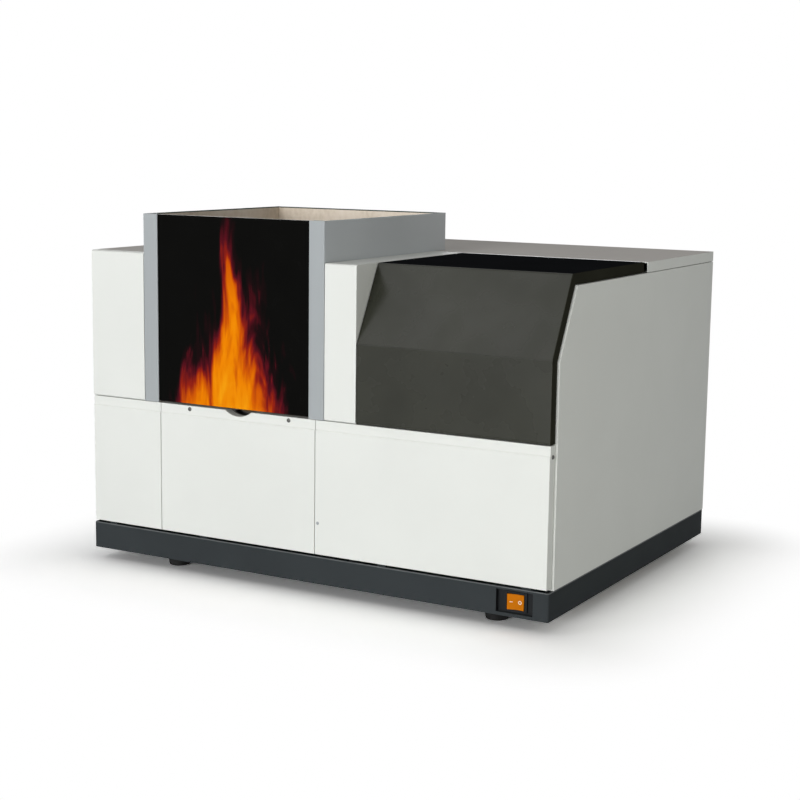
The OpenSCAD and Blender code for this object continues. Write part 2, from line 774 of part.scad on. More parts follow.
module dovetail(neck, wide, depth, grow) {
    polygon([[-neck - grow, -grow - 0.01], [-wide - grow, depth + grow], [wide + grow, depth + grow],
        [neck + grow, -grow - 0.01]]);
}

module fore_aft_rail() {
    color("#9fa3a6") difference() {
        union() {
            slab([burner_x - 25, burner_y - 70, tub_floor], [burner_x + 25, burner_y + 70, tub_floor + 5]);
            translate([burner_x, 0, tub_floor + 5])
                along_y(burner_y - 70, burner_y + 70) dovetail(11, 16, 8, 0);
            slab([fore_aft_x - 12, burner_y - 12, tub_floor],
                [burner_x - 24, burner_y + 12, tub_floor + 4]);
        }
        rod_z(tub_floor - 1, tub_floor + 5, fore_aft_x, burner_y, knob_shaft_d + 2 * run_clear);
    }
}

module burner_carriage() {
    post_top = elevator_top - burner_travel;
    ear_x = height_shaft_x;
    color("#5d6164") difference() {
        union() {
            slab([burner_x - carriage_half_w, burner_y - carriage_half_l, carriage_z],
                [burner_x + carriage_half_w, burner_y + carriage_half_l, carriage_top]);
            slab([burner_x - 20, column_y, carriage_top - 1],
                [burner_x + 20, burner_y + carriage_half_l, post_top]);
            translate([burner_x, column_y, 0]) rotate([0, 0, 180])
                along_z(carriage_top - 1, post_top) dovetail(9, 13, 7, 0);
            slab([burner_x + elevator_half_w + 4.6, burner_y - 16, carriage_z],
                [ear_x + 8, burner_y - 6, height_rack_z + 6]);
            along_z(carriage_z + 3, carriage_z + 13) polygon([for (p = rack_outline(rack_module, 64, 5))
                [burner_x - carriage_half_w - 4 - p.y, burner_y + p.x]]);
        }
        translate([burner_x, 0, tub_floor + 5])
            along_y(burner_y - 80, burner_y + 80) dovetail(11, 16, 8, slide_clear);
        rod_y(burner_y - 17, burner_y - 5, height_shaft_x, height_rack_z, knob_shaft_d + 2 * run_clear);
    }
}

module burner_elevator() {
    back = column_y - slide_clear;
    color("#5d6164") difference() {
        union() {
            slab([burner_x - elevator_half_w, back - 20, elevator_bottom],
                [burner_x + elevator_half_w, back, elevator_top]);
            slab([burner_x - 26, burner_y - 45, elevator_top - 2],
                [burner_x + 26, back, chamber_bottom + 14]);
            along_y(burner_y + 3, burner_y + 13)
                polygon([for (p = rack_outline(rack_module, elevator_top - elevator_bottom, 5))
                    [burner_x + elevator_half_w + 4 + p.y, height_rack_z + p.x]]);
        }
        translate([burner_x, column_y, 0]) rotate([0, 0, 180])
            along_z(elevator_bottom - 1, chamber_bottom + 15) dovetail(9, 13, 7, slide_clear);
        rod_y(burner_y - 60, burner_y + 60, burner_x, chamber_z, chamber_d + 2 * run_clear);
    }
}

head_bottom = burner_top - 66;
neck_top = burner_top - 52;

module spray_chamber() {
    rear = chamber_front + chamber_l;
    color("#e4e4df") difference() {
        union() {
            rod_y(chamber_front, rear, burner_x, chamber_z, chamber_d);
            rod_y(chamber_front - 8, chamber_front + 4, burner_x, chamber_z, chamber_d + 6);
            rod_z(chamber_z, neck_top, burner_x, burner_y, neck_d);
        }
        rod_y(chamber_front + 4, rear - 5, burner_x, chamber_z, chamber_d - 8);
        rod_z(chamber_z, neck_top + 1, burner_x, burner_y, neck_d - 8);
        rod_y(chamber_front - 9, chamber_front + 5, burner_x, chamber_z, 12);
    }
}

module nebuliser() {
    face = chamber_front - 8;
    color("#a9abad") {
        rod_y(face, face + 6, burner_x, chamber_z, 11.8);
        rod_y(face - 26, face, burner_x, chamber_z, 20);
        rod_y(face - 22, face - 14, burner_x, chamber_z, 26);
        rod_y(face - 40, face - 25, burner_x, chamber_z, 3);
        rod_z(chamber_z, chamber_z + 24, burner_x, face - 7, 6);
        rod_y(face - 18, face, burner_x + 20, chamber_z - 16, 8);
    }
}

module drain_trap() {
    trap_y = burner_y - 62;
    color("#d9d9d2") difference() {
        union() {
            rod_z(chamber_bottom - 48, chamber_bottom - 10, burner_x, trap_y, 32);
            rod_z(chamber_bottom - 11, chamber_bottom + 5, burner_x, trap_y, 14);
            rod_x(burner_x - 34, burner_x, trap_y, chamber_bottom - 38, 8);
        }
        rod_y(trap_y - 20, trap_y + 20, burner_x, chamber_z, chamber_d + 2 * run_clear);
    }
}

module burner_head() {
    waist = head_bottom + 24;
    block = burner_top - 26;
    color("#87888a") difference() {
        union() {
            rod_z(head_bottom, waist, burner_x, burner_y, neck_d + 10);
            hull() {
                rod_z(waist - 1, waist, burner_x, burner_y, neck_d + 10);
                slab([burner_x - burner_l / 2, burner_y - burner_w / 2, block],
                    [burner_x + burner_l / 2, burner_y + burner_w / 2, block + 1]);
            }
            slab([burner_x - burner_l / 2, burner_y - burner_w / 2, block],
                [burner_x + burner_l / 2, burner_y + burner_w / 2, burner_top]);
        }
        rod_z(head_bottom - 1, neck_top + slide_clear, burner_x, burner_y, neck_d + 2 * run_clear);
        rod_z(neck_top, block + 8, burner_x, burner_y, 16);
        slab([burner_x - slot_l / 2, burner_y - slot_w / 2, block + 4],
            [burner_x + slot_l / 2, burner_y + slot_w / 2, burner_top + 1]);
    }
}

function mesh_turn(teeth) = teeth % 2 == 0 ? 180 / teeth : 0;

module height_knob() {
    color("#202224") {
        rod_y(burner_y - 110, burner_y + 13, height_shaft_x, height_rack_z, knob_shaft_d);
        rod_y(burner_y - 113, burner_y - 97, height_shaft_x, height_rack_z, knob_d);
        translate([height_shaft_x, 0, height_rack_z]) along_y(burner_y + 4, burner_y + 12)
            polygon([for (p = gear_outline(rack_module, rack_teeth)) turned(p, mesh_turn(rack_teeth))]);
    }
}

module fore_aft_knob() {
    color("#202224") {
        rod_z(tub_floor + 0.5, elevator_top - 8, fore_aft_x, burner_y, knob_shaft_d);
        rod_z(elevator_top - 22, elevator_top - 6, fore_aft_x, burner_y, knob_d);
        translate([fore_aft_x, burner_y, 0]) along_z(carriage_z + 4, carriage_z + 12)
            polygon([for (p = gear_outline(rack_module, rack_teeth)) turned(p, 180 / rack_teeth)]);
    }
}

module ignitor() {
    wall = tub_rear - liner_t;
    color("#e9e4da") {
        rod_y(burner_y + burner_l / 2 + 10, wall, burner_x + 35, beam_z - 4, 8);
        rod_y(wall - 3, wall, burner_x + 35, beam_z - 4, 20);
        rod_y(burner_y + burner_l / 2 + 5, burner_y + burner_l / 2 + 11, burner_x + 35, beam_z - 4, 2);
    }
}

// Optical deck on posts

module optical_deck() {
    color("#8f9497") {
        slab([deck_l, deck_front, deck_z - deck_t], [deck_r, deck_rear, deck_z]);
        for (x = [deck_l + 15, deck_r - 14], y = [deck_front + 14, burner_y + 140, deck_rear - 12])
            rod_z(base_floor, deck_z - deck_t, x, y, 14);
    }
}

// Lamp turret: two plates on a shaft hold the lamps round a circle

function lamp_places() = [for (i = [0:lamp_count - 1]) let (a = 180 + 360 * i / lamp_count)
    [turret_y + lamp_circle * cos(a), beam_z + lamp_circle * sin(a)]];

module lamp_turret() {
    plate_d = 2 * lamp_circle + lamp_d - 2;
    front_x = lamp_x + lamp_l / 2;
    back_x = lamp_base_x + 14;
    color("#33363a") difference() {
        union() {
            rod_x(front_x, front_x + 3, turret_y, beam_z, plate_d);
            rod_x(back_x, back_x + 4, turret_y, beam_z, plate_d);
            rod_x(front_x - 8, stand_x + 18, turret_y, beam_z, turret_shaft_d);
            rod_x(front_x - 4, front_x + 8, turret_y, beam_z, turret_shaft_d + 10);
            rod_x(back_x - 4, back_x + 10, turret_y, beam_z, turret_shaft_d + 10);
        }
        for (p = lamp_places()) {
            rod_x(front_x - 1, front_x + 4, p.x, p.y, lamp_d + 2 * slide_clear);
            rod_x(back_x - 1, back_x + 5, p.x, p.y, lamp_base_d + 2 * slide_clear);
        }
    }
}

module lamp_bases() {
    color("#1e1f20") for (p = lamp_places()) {
        rod_x(lamp_base_x, lamp_base_x + 34, p.x, p.y, lamp_base_d);
        rod_x(lamp_base_x + 33, lamp_base_x + 38, p.x, p.y, 12);
    }
}

module lamp_envelopes() {
    color("#c9d6d8") for (p = lamp_places()) difference() {
        rod_x(lamp_x, lamp_base_x, p.x, p.y, lamp_d);
        rod_x(lamp_x + 3, lamp_base_x + 1, p.x, p.y, lamp_d - 3);
    }
}

module lamp_cathodes() {
    cup_x = lamp_x + lamp_l / 3;
    cup_l = lamp_l / 5;
    disc_x = cup_x + 0.28 * lamp_l;
    color("#b08a52") for (p = lamp_places()) {
        difference() {
            rod_x(cup_x, cup_x + cup_l, p.x, p.y, 11);
            rod_x(cup_x - 1, cup_x + 0.75 * cup_l, p.x, p.y, 5);
        }
        rod_x(cup_x + cup_l - 1, lamp_base_x, p.x, p.y, 4);
        difference() {
            rod_x(disc_x, disc_x + 2, p.x, p.y, lamp_d - 8);
            rod_x(disc_x - 1, disc_x + 3, p.x, p.y, 6);
        }
        rod_x(disc_x + 1, lamp_base_x, p.x + 10, p.y, 2);
    }
}

module turret_gear() {
    color("#c2a15a") difference() {
        translate([0, turret_y, beam_z]) along_x(turret_gear_x, turret_gear_x + 8)
            polygon(gear_outline(gear_module, gear_teeth));
        rod_x(turret_gear_x - 1, turret_gear_x + 9, turret_y, beam_z, turret_shaft_d + 2 * run_clear);
        for (a = [0:60:300])
            rod_x(turret_gear_x - 1, turret_gear_x + 9, turret_y + 25 * cos(a), beam_z + 25 * sin(a), 14);
    }
}

module turret_stand() {
    y0 = turret_y - 35;
    y1 = motor_y + 26;
    color("#7d8286") difference() {
        union() {
            slab([stand_x, y0, deck_z], [stand_x + stand_t, y1, beam_z + 32]);
            slab([stand_x - 8, y0, deck_z], [stand_x + 24, y1, deck_z + 5]);
            rod_x(stand_x, stand_x + 16, turret_y, beam_z, turret_shaft_d + 14);
        }
        rod_x(stand_x - 1, stand_x + 17, turret_y, beam_z, turret_shaft_d + 2 * run_clear);
        rod_x(stand_x - 1, stand_x + stand_t + 1, motor_y, beam_z, 22.6);
    }
}

module turret_motor() {
    x0 = stand_x + stand_t;
    color("#26282a") difference() {
        union() {
            along_x(x0, x0 + motor_l)
                polygon(rounded_box([motor_y - 21, beam_z - 21], [motor_y + 21, beam_z + 21], 3));
            rod_x(x0 - 2, x0 + 1, motor_y, beam_z, 22);
        }
        rod_x(x0 - 3, x0 + 20, motor_y, beam_z, 5 + 2 * run_clear);
    }
}

module motor_pinion() {
    color("#c2a15a") {
        rod_x(turret_gear_x - 2, stand_x + 20, motor_y, beam_z, 5);
        translate([0, motor_y, beam_z]) along_x(turret_gear_x - 1, turret_gear_x + 9)
            polygon([for (p = gear_outline(gear_module, pinion_teeth)) turned(p, mesh_turn(pinion_teeth))]);
    }
}

module deuterium_housing() {
    x0 = column_r + 8;
    y0 = front_y + 42;
    color("#2b2d2f") {
        slab([x0, y0, beam_z - 30], [x0 + 40, y0 + 48, beam_z + 30]);
        slab([x0 + 10, y0 + 14, deck_z], [x0 + 30, y0 + 34, beam_z - 29]);
        slab([x0, y0, deck_z], [x0 + 40, y0 + 48, deck_z + 4]);
        rod_y(y0 + 47, y0 + 72, x0 + 12, beam_z, 16);
        for (i = [0:5]) slab([x0 + 3 + i * 6, y0 + 4, beam_z + 29], [x0 + 5 + i * 6, y0 + 44, beam_z + 38]);
    }
}

// Beam path: lens barrels in both duct walls, fold mirrors on the left, mirrors in the monochromator

mirror_x = (left_x + duct_l) / 2;
barrel_d = 40;
barrel_ends = [[duct_r - liner_in - 10, duct_r + 38], [duct_l - 30, duct_l + liner_in + 10]];
lens_d = 34;
mono_mirror_x = mono_r - mono_wall - 10;
mono_mirror_y = [grating_y - 0.2 * mono_d, grating_y + 0.2 * mono_d];
mono_mirror_d = 0.237 * mono_d;
fold_places = [[mirror_x, burner_y, 45], [mirror_x, slit_in_y, -45]];
fold_d = 44;

module optic_mounts() {
    color("#2b2d2f") {
        for (x = barrel_ends) difference() {
            union() {
                rod_x(x[0], x[1], burner_y, beam_z, barrel_d);
                if (x[0] > burner_x) rod_x(duct_r, duct_r + 3, burner_y, beam_z, 58);
                else rod_x(duct_l - 3, duct_l, burner_y, beam_z, 58);
            }
            rod_x(x[0] - 1, x[1] + 1, burner_y, beam_z, lens_d);
        }
        for (f = fold_places) translate([f.x, f.y, 0]) rotate([0, 0, f.z]) {
            slab([-14, -25, beam_z - 25], [-6, 25, beam_z + 25]);
            rod_z(base_floor, beam_z - 24, -10, 0, 14);
            rod_z(base_floor, base_floor + 6, -10, 0, 40);
        }
        for (y = mono_mirror_y)
            slab([mono_mirror_x, y - 0.55 * mono_mirror_d, mono_floor],
                [mono_r - mono_wall, y + 0.55 * mono_mirror_d, beam_z + 22]);
    }
}

module lenses() {
    color("#d5e2e6") for (x = [duct_r - liner_in - 8, duct_r + 30, duct_l - 27, duct_l + liner_in + 3])
        rod_x(x, x + 5, burner_y, beam_z, lens_d - 2 * run_clear);
}

module mirrors() {
    color("#dfe6ea") {
        for (f = fold_places) translate([f.x, f.y, beam_z]) rotate([0, 0, f.z]) rod_x(-6, 0, 0, 0, fold_d);
        for (y = mono_mirror_y) rod_x(mono_mirror_x - 8, mono_mirror_x, y, beam_z, mono_mirror_d);
    }
}

// Monochromator: a box on four legs, a grating on a turntable, and a plunger that pushes its sine arm

arm_x = grating_x + sine_arm;
ball_d = 10;
arm_z = table_z + 3;

module mono_housing() {
    color("#55595c") difference() {
        union() {
            difference() {
                slab([mono_l, mono_front, mono_bottom], [mono_r, mono_rear, mono_top]);
                slab([mono_l + mono_wall, mono_front + mono_wall, mono_floor],
                    [mono_r - mono_wall, mono_rear - mono_wall, mono_top + 1]);
            }
            for (x = [mono_l + 15, mono_r - 15], y = [mono_front + 15, mono_rear - 15])
                rod_z(deck_z, mono_bottom + 1, x, y, 20);
            rod_z(mono_floor - 1, table_z - 0.5, grating_x, grating_y, 24);
        }
        rod_z(mono_floor, table_z + 1, grating_x, grating_y, 10 + 2 * run_clear);
        for (y = [slit_in_y, slit_out_y]) rod_x(mono_l - 1, mono_l + mono_wall + 1, y, beam_z, 10);
    }
}

module mono_cover() {
    color("#55595c") slab([mono_l - 2, mono_front - 2, mono_top],
        [mono_r + 2, mono_rear + 2, mono_top + 4]);
}

module grating_table() {
    color("#9fa3a6") {
        rod_z(mono_floor + 0.5, table_z + 1, grating_x, grating_y, 10);
        rod_z(table_z, table_z + 6, grating_x, grating_y, 46);
        slab([grating_x, grating_y - 3, table_z], [arm_x, grating_y + 3, table_z + 6]);
        translate([arm_x, grating_y, arm_z]) sphere(d = ball_d);
    }
}

module grating() {
    color("#c6b7dd")
        slab([grating_x - 5, grating_y - 16, table_z + 6], [grating_x + 5, grating_y + 16, table_z + 44]);
}

module wavelength_actuator() {
    y0 = mono_front + mono_wall;
    color("#26282a") difference() {
        slab([arm_x - 17, y0, mono_floor], [arm_x + 17, grating_y - 29, arm_z + 16]);
        rod_y(y0 + 1, grating_y, arm_x, arm_z, 6 + 2 * run_clear);
    }
}

module actuator_plunger() {
    tip = grating_y - ball_d / 2 - slide_clear;
    color("#b9bdc0") {
        rod_y(mono_front + mono_wall + 20.5, tip - 1, arm_x, arm_z, 6);
        rod_y(tip - 4, tip, arm_x, arm_z, 12);
    }
}

module detector_housing() {
    color("#2b2d2f") {
        slab([mono_l - 50, slit_out_y - 21, beam_z - 25], [mono_l, slit_out_y + 21, beam_z + 25]);
        rod_x(mono_l - 74, mono_l - 49, slit_out_y, beam_z, 32);
    }
}

// Electronics and gas control under the deck and behind the burner

module main_board() {
    x0 = deck_l + 40;
    x1 = deck_r - 54;
    y0 = deck_front + 40;
    y1 = duct_rear - 48;
    z0 = base_floor + 8;
    pitch_x = (x1 - x0) / 4.6;
    pitch_y = (y1 - y0) / 3.45;
    color("#1f5a3a") {
        slab([x0, y0, z0], [x1, y1, z0 + 1.6]);
        for (x = [x0 + 8, x1 - 8], y = [y0 + 8, y1 - 8]) rod_z(base_floor, z0 + 1, x, y, 8);
        for (i = [0:3], k = [0:2]) translate([x0 + 25 + i * pitch_x, y0 + 25 + k * pitch_y, z0 + 1])
            cube([0.58 * pitch_x, 0.48 * pitch_y, 3]);
        for (i = [0:4]) rod_z(z0 + 1, z0 + 22, x0 + 30 + i * 20, y1 - 14, 12);
    }
}

module power_supply() {
    x0 = deck_l + 50;
    x1 = deck_r - 84;
    y0 = duct_rear + 16;
    y1 = rear_panel_y - 54;
    z1 = base_floor + 60;
    pitch = (x1 - x0) / 15;
    color("#b5b8ba") difference() {
        slab([x0, y0, base_floor], [x1, y1, z1]);
        for (i = [0:11]) translate([x0 + (i + 1.7) * pitch, y0 + 14, z1 - 3])
            cube([pitch / 2, y1 - y0 - 28, 4]);
    }
}

module gas_box() {
    x0 = duct_l + 30;
    x1 = duct_r - 107;
    y0 = duct_rear + 25;
    y1 = rear_panel_y - 59;
    z1 = base_floor + 80;
    color("#a7abad") {
        slab([x0, y0, base_floor], [x1, y1, z1]);
        for (x = [x0 + 0.2 * (x1 - x0), (x0 + x1) / 2, x1 - 0.2 * (x1 - x0)]) {
            rod_z(z1 - 1, z1 + 40, x, (y0 + y1) / 2, 30);
            rod_z(z1 - 1, z1 + 48, x, (y0 + y1) / 2, 8);
        }
    }
}

module power_inlet() {
    back = rear_panel_y;
    color("#1b1c1d") {
        difference() {
            union() {
                slab([inlet_x - 13.5, back - 22, inlet_z - 10], [inlet_x + 13.5, back + 1, inlet_z + 10]);
                slab([inlet_x - 18, back, inlet_z - 14], [inlet_x + 18, back + 2.5, inlet_z + 14]);
            }
            slab([inlet_x - 11.8, back - 15, inlet_z - 8], [inlet_x + 11.8, back + 3, inlet_z + 8]);
        }
        for (p = [[-7, 0], [0, 2], [7, 0]])
            slab([inlet_x + p.x - 1, back - 16, inlet_z + p.y - 2],
                [inlet_x + p.x + 1, back - 2, inlet_z + p.y + 2]);
        difference() {
            slab([port_x - 6, back - 14, inlet_z - 5.5], [port_x + 6, back + 1.5, inlet_z + 5.5]);
            slab([port_x - 4.5, back - 8, inlet_z - 4], [port_x + 4.5, back + 2, inlet_z + 4]);
        }
    }
}

// Hose spigots: fuel, oxidant and drain, clamped to the rear panel between two hexagon nuts
module hose_fittings() {
    back = rear_panel_y;
    nut_d = 19;
    color("#c9a84f") for (x = fitting_x) {
        rod_y(back - 20, back + spigot_l, x, fitting_z, spigot_d);
        translate([x, back, fitting_z]) rotate([-90, 0, 0]) cylinder(d = nut_d, h = 6, $fn = 6);
        translate([x, back - sheet - 5, fitting_z]) rotate([-90, 0, 0]) cylinder(d = nut_d, h = 5, $fn = 6);
    }
}

// Cooling fan behind the rear panel's holes

fan_front = rear_panel_y - sheet - 20;

module cooling_fan() {
    half = fan_size / 2;
    color("#1b1c1d") {
        difference() {
            along_y(fan_front, rear_panel_y - sheet)
                polygon(rounded_box([fan_x - half, fan_z - half], [fan_x + half, fan_z + half], 4));
            rod_y(fan_front - 1, rear_panel_y, fan_x, fan_z, fan_size - 4);
        }
        difference() {
            union() {
                rod_y(fan_front, fan_front + 4, fan_x, fan_z, 24);
                for (a = [45:90:315]) translate([fan_x, 0, fan_z]) rotate([0, a, 0])
                    slab([0, fan_front, -2], [half - 1.5, fan_front + 3, 2]);
            }
            rod_y(fan_front + 1, fan_front + 5, fan_x, fan_z, 3 + 2 * run_clear);
        }
    }
}

module fan_rotor() {
    color("#2a2c2e") {
        rod_y(fan_front + 4.6, fan_front + 16, fan_x, fan_z, 26);
        rod_y(fan_front + 1.5, fan_front + 6, fan_x, fan_z, 3);
        for (a = [0:60:300]) translate([fan_x, fan_front + 10, fan_z]) rotate([0, a, 0]) rotate([35, 0, 0])
            slab([11, -0.8, -6.5], [fan_size / 2 - 3.5, 0.8, 6.5]);
    }
}

// Assembly

base_tray();
rubber_feet();
screws();
switch_housing();
power_rocker();
front_panel_left();
front_panel_burner();
front_panel_right();
front_rail();
left_upper_cover();
centre_column();
left_side_panel();
right_side_panel();
top_cover();
rear_panel();
flame_duct();
duct_liner();
burner_tub();
flame_shield();
shield_lift_bar();
lamp_hood();
hood_hinge_leaf();
frame_hinge_leaf();
fore_aft_rail();
burner_carriage();
burner_elevator();
spray_chamber();
nebuliser();
drain_trap();
burner_head();
height_knob();
fore_aft_knob();
ignitor();
optical_deck();
lamp_turret();
lamp_bases();
lamp_envelopes();
lamp_cathodes();
turret_gear();
turret_stand();
turret_motor();
motor_pinion();
deuterium_housing();
optic_mounts();
lenses();
mirrors();
mono_housing();
mono_cover();
grating_table();
grating();
wavelength_actuator();
actuator_plunger();
detector_housing();
main_board();
power_supply();
gas_box();
power_inlet();
hose_fittings();
cooling_fan();
fan_rotor();
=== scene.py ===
import json
import math

import bmesh
import bpy
from mathutils import Matrix, Vector

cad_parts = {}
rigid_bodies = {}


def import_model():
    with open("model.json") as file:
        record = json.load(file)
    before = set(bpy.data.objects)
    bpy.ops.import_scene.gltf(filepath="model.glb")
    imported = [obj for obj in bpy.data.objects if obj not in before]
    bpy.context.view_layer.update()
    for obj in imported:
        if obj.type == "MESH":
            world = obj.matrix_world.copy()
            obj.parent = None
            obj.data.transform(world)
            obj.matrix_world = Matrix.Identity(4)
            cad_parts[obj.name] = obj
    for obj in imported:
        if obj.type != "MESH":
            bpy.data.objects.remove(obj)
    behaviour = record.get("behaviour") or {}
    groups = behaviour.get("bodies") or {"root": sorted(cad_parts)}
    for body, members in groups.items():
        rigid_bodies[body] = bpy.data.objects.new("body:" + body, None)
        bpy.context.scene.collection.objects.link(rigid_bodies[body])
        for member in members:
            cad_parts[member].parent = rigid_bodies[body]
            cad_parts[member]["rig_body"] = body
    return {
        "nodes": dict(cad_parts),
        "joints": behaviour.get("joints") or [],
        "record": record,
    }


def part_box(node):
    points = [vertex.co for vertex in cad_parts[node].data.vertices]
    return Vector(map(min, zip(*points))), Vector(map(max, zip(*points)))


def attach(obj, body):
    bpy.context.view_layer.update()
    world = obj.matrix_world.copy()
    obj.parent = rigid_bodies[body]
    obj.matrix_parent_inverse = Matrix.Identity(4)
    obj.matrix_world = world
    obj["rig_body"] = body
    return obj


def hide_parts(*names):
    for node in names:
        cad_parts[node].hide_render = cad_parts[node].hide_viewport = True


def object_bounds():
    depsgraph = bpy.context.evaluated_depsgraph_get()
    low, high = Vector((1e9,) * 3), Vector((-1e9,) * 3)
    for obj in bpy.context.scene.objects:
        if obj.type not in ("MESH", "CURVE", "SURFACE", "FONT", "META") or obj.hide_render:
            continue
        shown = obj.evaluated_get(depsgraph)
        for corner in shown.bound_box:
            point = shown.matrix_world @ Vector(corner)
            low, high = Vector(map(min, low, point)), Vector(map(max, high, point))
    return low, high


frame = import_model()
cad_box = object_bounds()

MM = 0.001
SHEET = 1.5 * MM      # thickness of the cabinet's covers
MERGE = 0.000004      # points closer than this are one point
ON_PLANE = 0.02 * MM  # points closer than this to a plane lie on it

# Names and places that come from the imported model, in metres
joint = {j["name"]: j for j in frame["joints"]}
slot_of = {s["node"]: s["material_slot"] for s in frame["record"]["subparts"]}
body_of = {name: part["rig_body"] for name, part in frame["nodes"].items()}

cabinet_low, cabinet_high = cad_box
duct_low, duct_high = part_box("flame_duct")
liner_low, liner_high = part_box("duct_liner")
pane_low, pane_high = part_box("flame_shield")
hood_low, hood_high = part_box("lamp_hood")
rear_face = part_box("rear_panel")[1].y

# Nodes whose finish differs from that of their slot; the front rail's blackened steel is painted shade seen
# through the finger notch, and the grating's tints are painted diffraction light
LOOKS = {"grating": "grating_painted_tints", "front_rail": "blackened_steel", "burner_head": "tinted_titanium"}


# Camera, light and floor

def place_camera():
    """The photograph's angle: low, from the right of the front, through a long lens."""
    azimuth, elevation, roll = (math.radians(a) for a in (29.63, 9.08, 0.75))
    place = Vector((cabinet_high.x + 0.7945, -2.0411, 0.5972))
    ahead = Vector((-math.sin(azimuth) * math.cos(elevation),
                    math.cos(azimuth) * math.cos(elevation), -math.sin(elevation)))
    level = ahead.cross(Vector((0, 0, 1))).normalized()
    above = level.cross(ahead)
    right = math.cos(roll) * level + math.sin(roll) * above
    up = math.cos(roll) * above - math.sin(roll) * level
    data = bpy.data.cameras.new("camera")
    data.sensor_width = 36
    data.lens = 74.08
    camera = bpy.data.objects.new("camera", data)
    bpy.context.scene.collection.objects.link(camera)
    turn = Matrix((right, up, -ahead)).transposed().to_4x4()
    camera.matrix_world = Matrix.Translation(place) @ turn
    bpy.context.scene.camera = camera


def add_light(name, kind, ray, energy, colour=(1, 1, 1)):
    """A lamp that shines along a ray."""
    data = bpy.data.lights.new(name, kind)
    data.energy = energy
    data.color = colour
    light = bpy.data.objects.new(name, data)
    light.rotation_euler = ray.to_track_quat("-Z", "Y").to_euler()
    bpy.context.scene.collection.objects.link(light)
    return light


def sun_light(name, azimuth, elevation, level, softness):
    """A soft far light: azimuth 0 is straight in front and 90 from the right.

    A level of 1 shows a colour as it is written.
    """
    turn, rise = math.radians(azimuth), math.radians(elevation)
    towards = Vector((math.sin(turn) * math.cos(rise), -math.cos(turn) * math.cos(rise), math.sin(rise)))
    light = add_light(name, "SUN", -towards, math.pi * level)
    light.data.angle = math.radians(softness)


def soft_box(name, place, aim, size, power, colour=(1, 1, 1)):
    """A square lamp near the object, brightest on what is close to it."""
    light = add_light(name, "AREA", Vector(aim) - Vector(place), power, colour)
    light.data.size = size
    light.location = place
    light.visible_camera = False


def light_studio():
    """A low light from the front, soft ones for the right side, rear and hood slope, and a pale room."""
    sun_light("key_light", azimuth=-6, elevation=3, level=0.93, softness=24)
    soft_box("right_fill", place=(1.7, -0.7, 0.55), aim=(0.353, -0.1, 0.22), size=0.9, power=3.85,
             colour=(1, 0.975, 0.875))
    sun_light("rear_fill", azimuth=205, elevation=4, level=0.30, softness=40)
    soft_box("slope_light", place=(-0.9, -1.75, 2.0), aim=(0.2, -0.2, 0.38), size=0.75, power=3.4)
    world = bpy.data.worlds.new("studio")
    bpy.context.scene.world = world
    world.use_nodes = True
    tree = world.node_tree
    tree.nodes.clear()
    room = node(tree, "ShaderNodeBackground", Color=(1, 1, 1, 1), Strength=0.22)
    backdrop = node(tree, "ShaderNodeBackground", Color=(1, 1, 1, 1), Strength=1.0)
    both = mix_shaders(tree, seen_rays(tree), room, backdrop)
    out = tree.nodes.new("ShaderNodeOutputWorld")
    tree.links.new(both.outputs[0], out.inputs["Surface"])


def floor_distance(tree, place):
    """How far a point of the floor lies outside the cabinet's outline."""
    parts = node(tree, "ShaderNodeSeparateXYZ", Vector=place).outputs
    past = []
    for axis in (0, 1):
        beside = calc(tree, "SUBTRACT", calc(tree, "ABSOLUTE", parts[axis]), cabinet_high[axis])
        beside = calc(tree, "MAXIMUM", beside, 0.0)
        past.append(calc(tree, "MULTIPLY", beside, beside))
    return calc(tree, "SQRT", calc(tree, "ADD", *past))


def lay_floor():
    """A wide white floor: plain white paint to the object, white with the object's shadow to the camera."""
    floor_size, shadow_reach, lit_white = 30, 0.2, 1.9
    bpy.ops.object.select_all(action="DESELECT")
    bpy.ops.mesh.primitive_plane_add(size=floor_size, location=(0, 0, 0))
    floor = bpy.context.object
    floor.name = "floor"
    bpy.ops.object.mode_set(mode="EDIT")
    bpy.ops.mesh.subdivide(number_cuts=4)
    bpy.ops.object.mode_set(mode="OBJECT")
    material = bpy.data.materials.new("white_floor")
    material.use_nodes = True
    tree = material.node_tree
    tree.nodes.clear()
    place = tree.nodes.new("ShaderNodeTexCoord").outputs["Object"]
    paint = ramp(tree, noise(tree, place, 3.0), (0.3, (0.81, 0.84, 0.88)), (0.7, (0.83, 0.86, 0.90)))
    plain = node(tree, "ShaderNodeBsdfDiffuse", Color=paint)
    shaded = node(tree, "ShaderNodeBsdfDiffuse", Color=(lit_white, lit_white, lit_white, 1))
    glow = node(tree, "ShaderNodeEmission", Color=(1, 1, 1, 1), Strength=1.0)
    fade = node(tree, "ShaderNodeMapRange", Value=floor_distance(tree, place))
    fade.interpolation_type = "SMOOTHSTEP"
    fade.inputs["From Max"].default_value = shadow_reach
    seen = mix_shaders(tree, fade.outputs[0], shaded, glow)
    both = mix_shaders(tree, seen_rays(tree), plain, seen)
    out = tree.nodes.new("ShaderNodeOutputMaterial")
    tree.links.new(both.outputs[0], out.inputs["Surface"])
    floor.data.materials.append(material)


# Shader helpers

def linear(red, green, blue):
    """A colour written from 0 to 255, as the shaders take it."""
    shares = [value / 255 for value in (red, green, blue)]
    return tuple(s / 12.92 if s < 0.0404 else ((s + 0.055) / 1.055) ** 2.4 for s in shares)


def plug(tree, socket, value):
    """Links a socket to another one, or sets it to a constant."""
    if isinstance(value, bpy.types.NodeSocket):
        tree.links.new(value, socket)
    else:
        socket.default_value = value


def node(tree, kind, **sockets):
    """A new node with the named sockets plugged."""
    made = tree.nodes.new(kind)
    for name, value in sockets.items():
        plug(tree, made.inputs[name.replace("_", " ")], value)
    return made


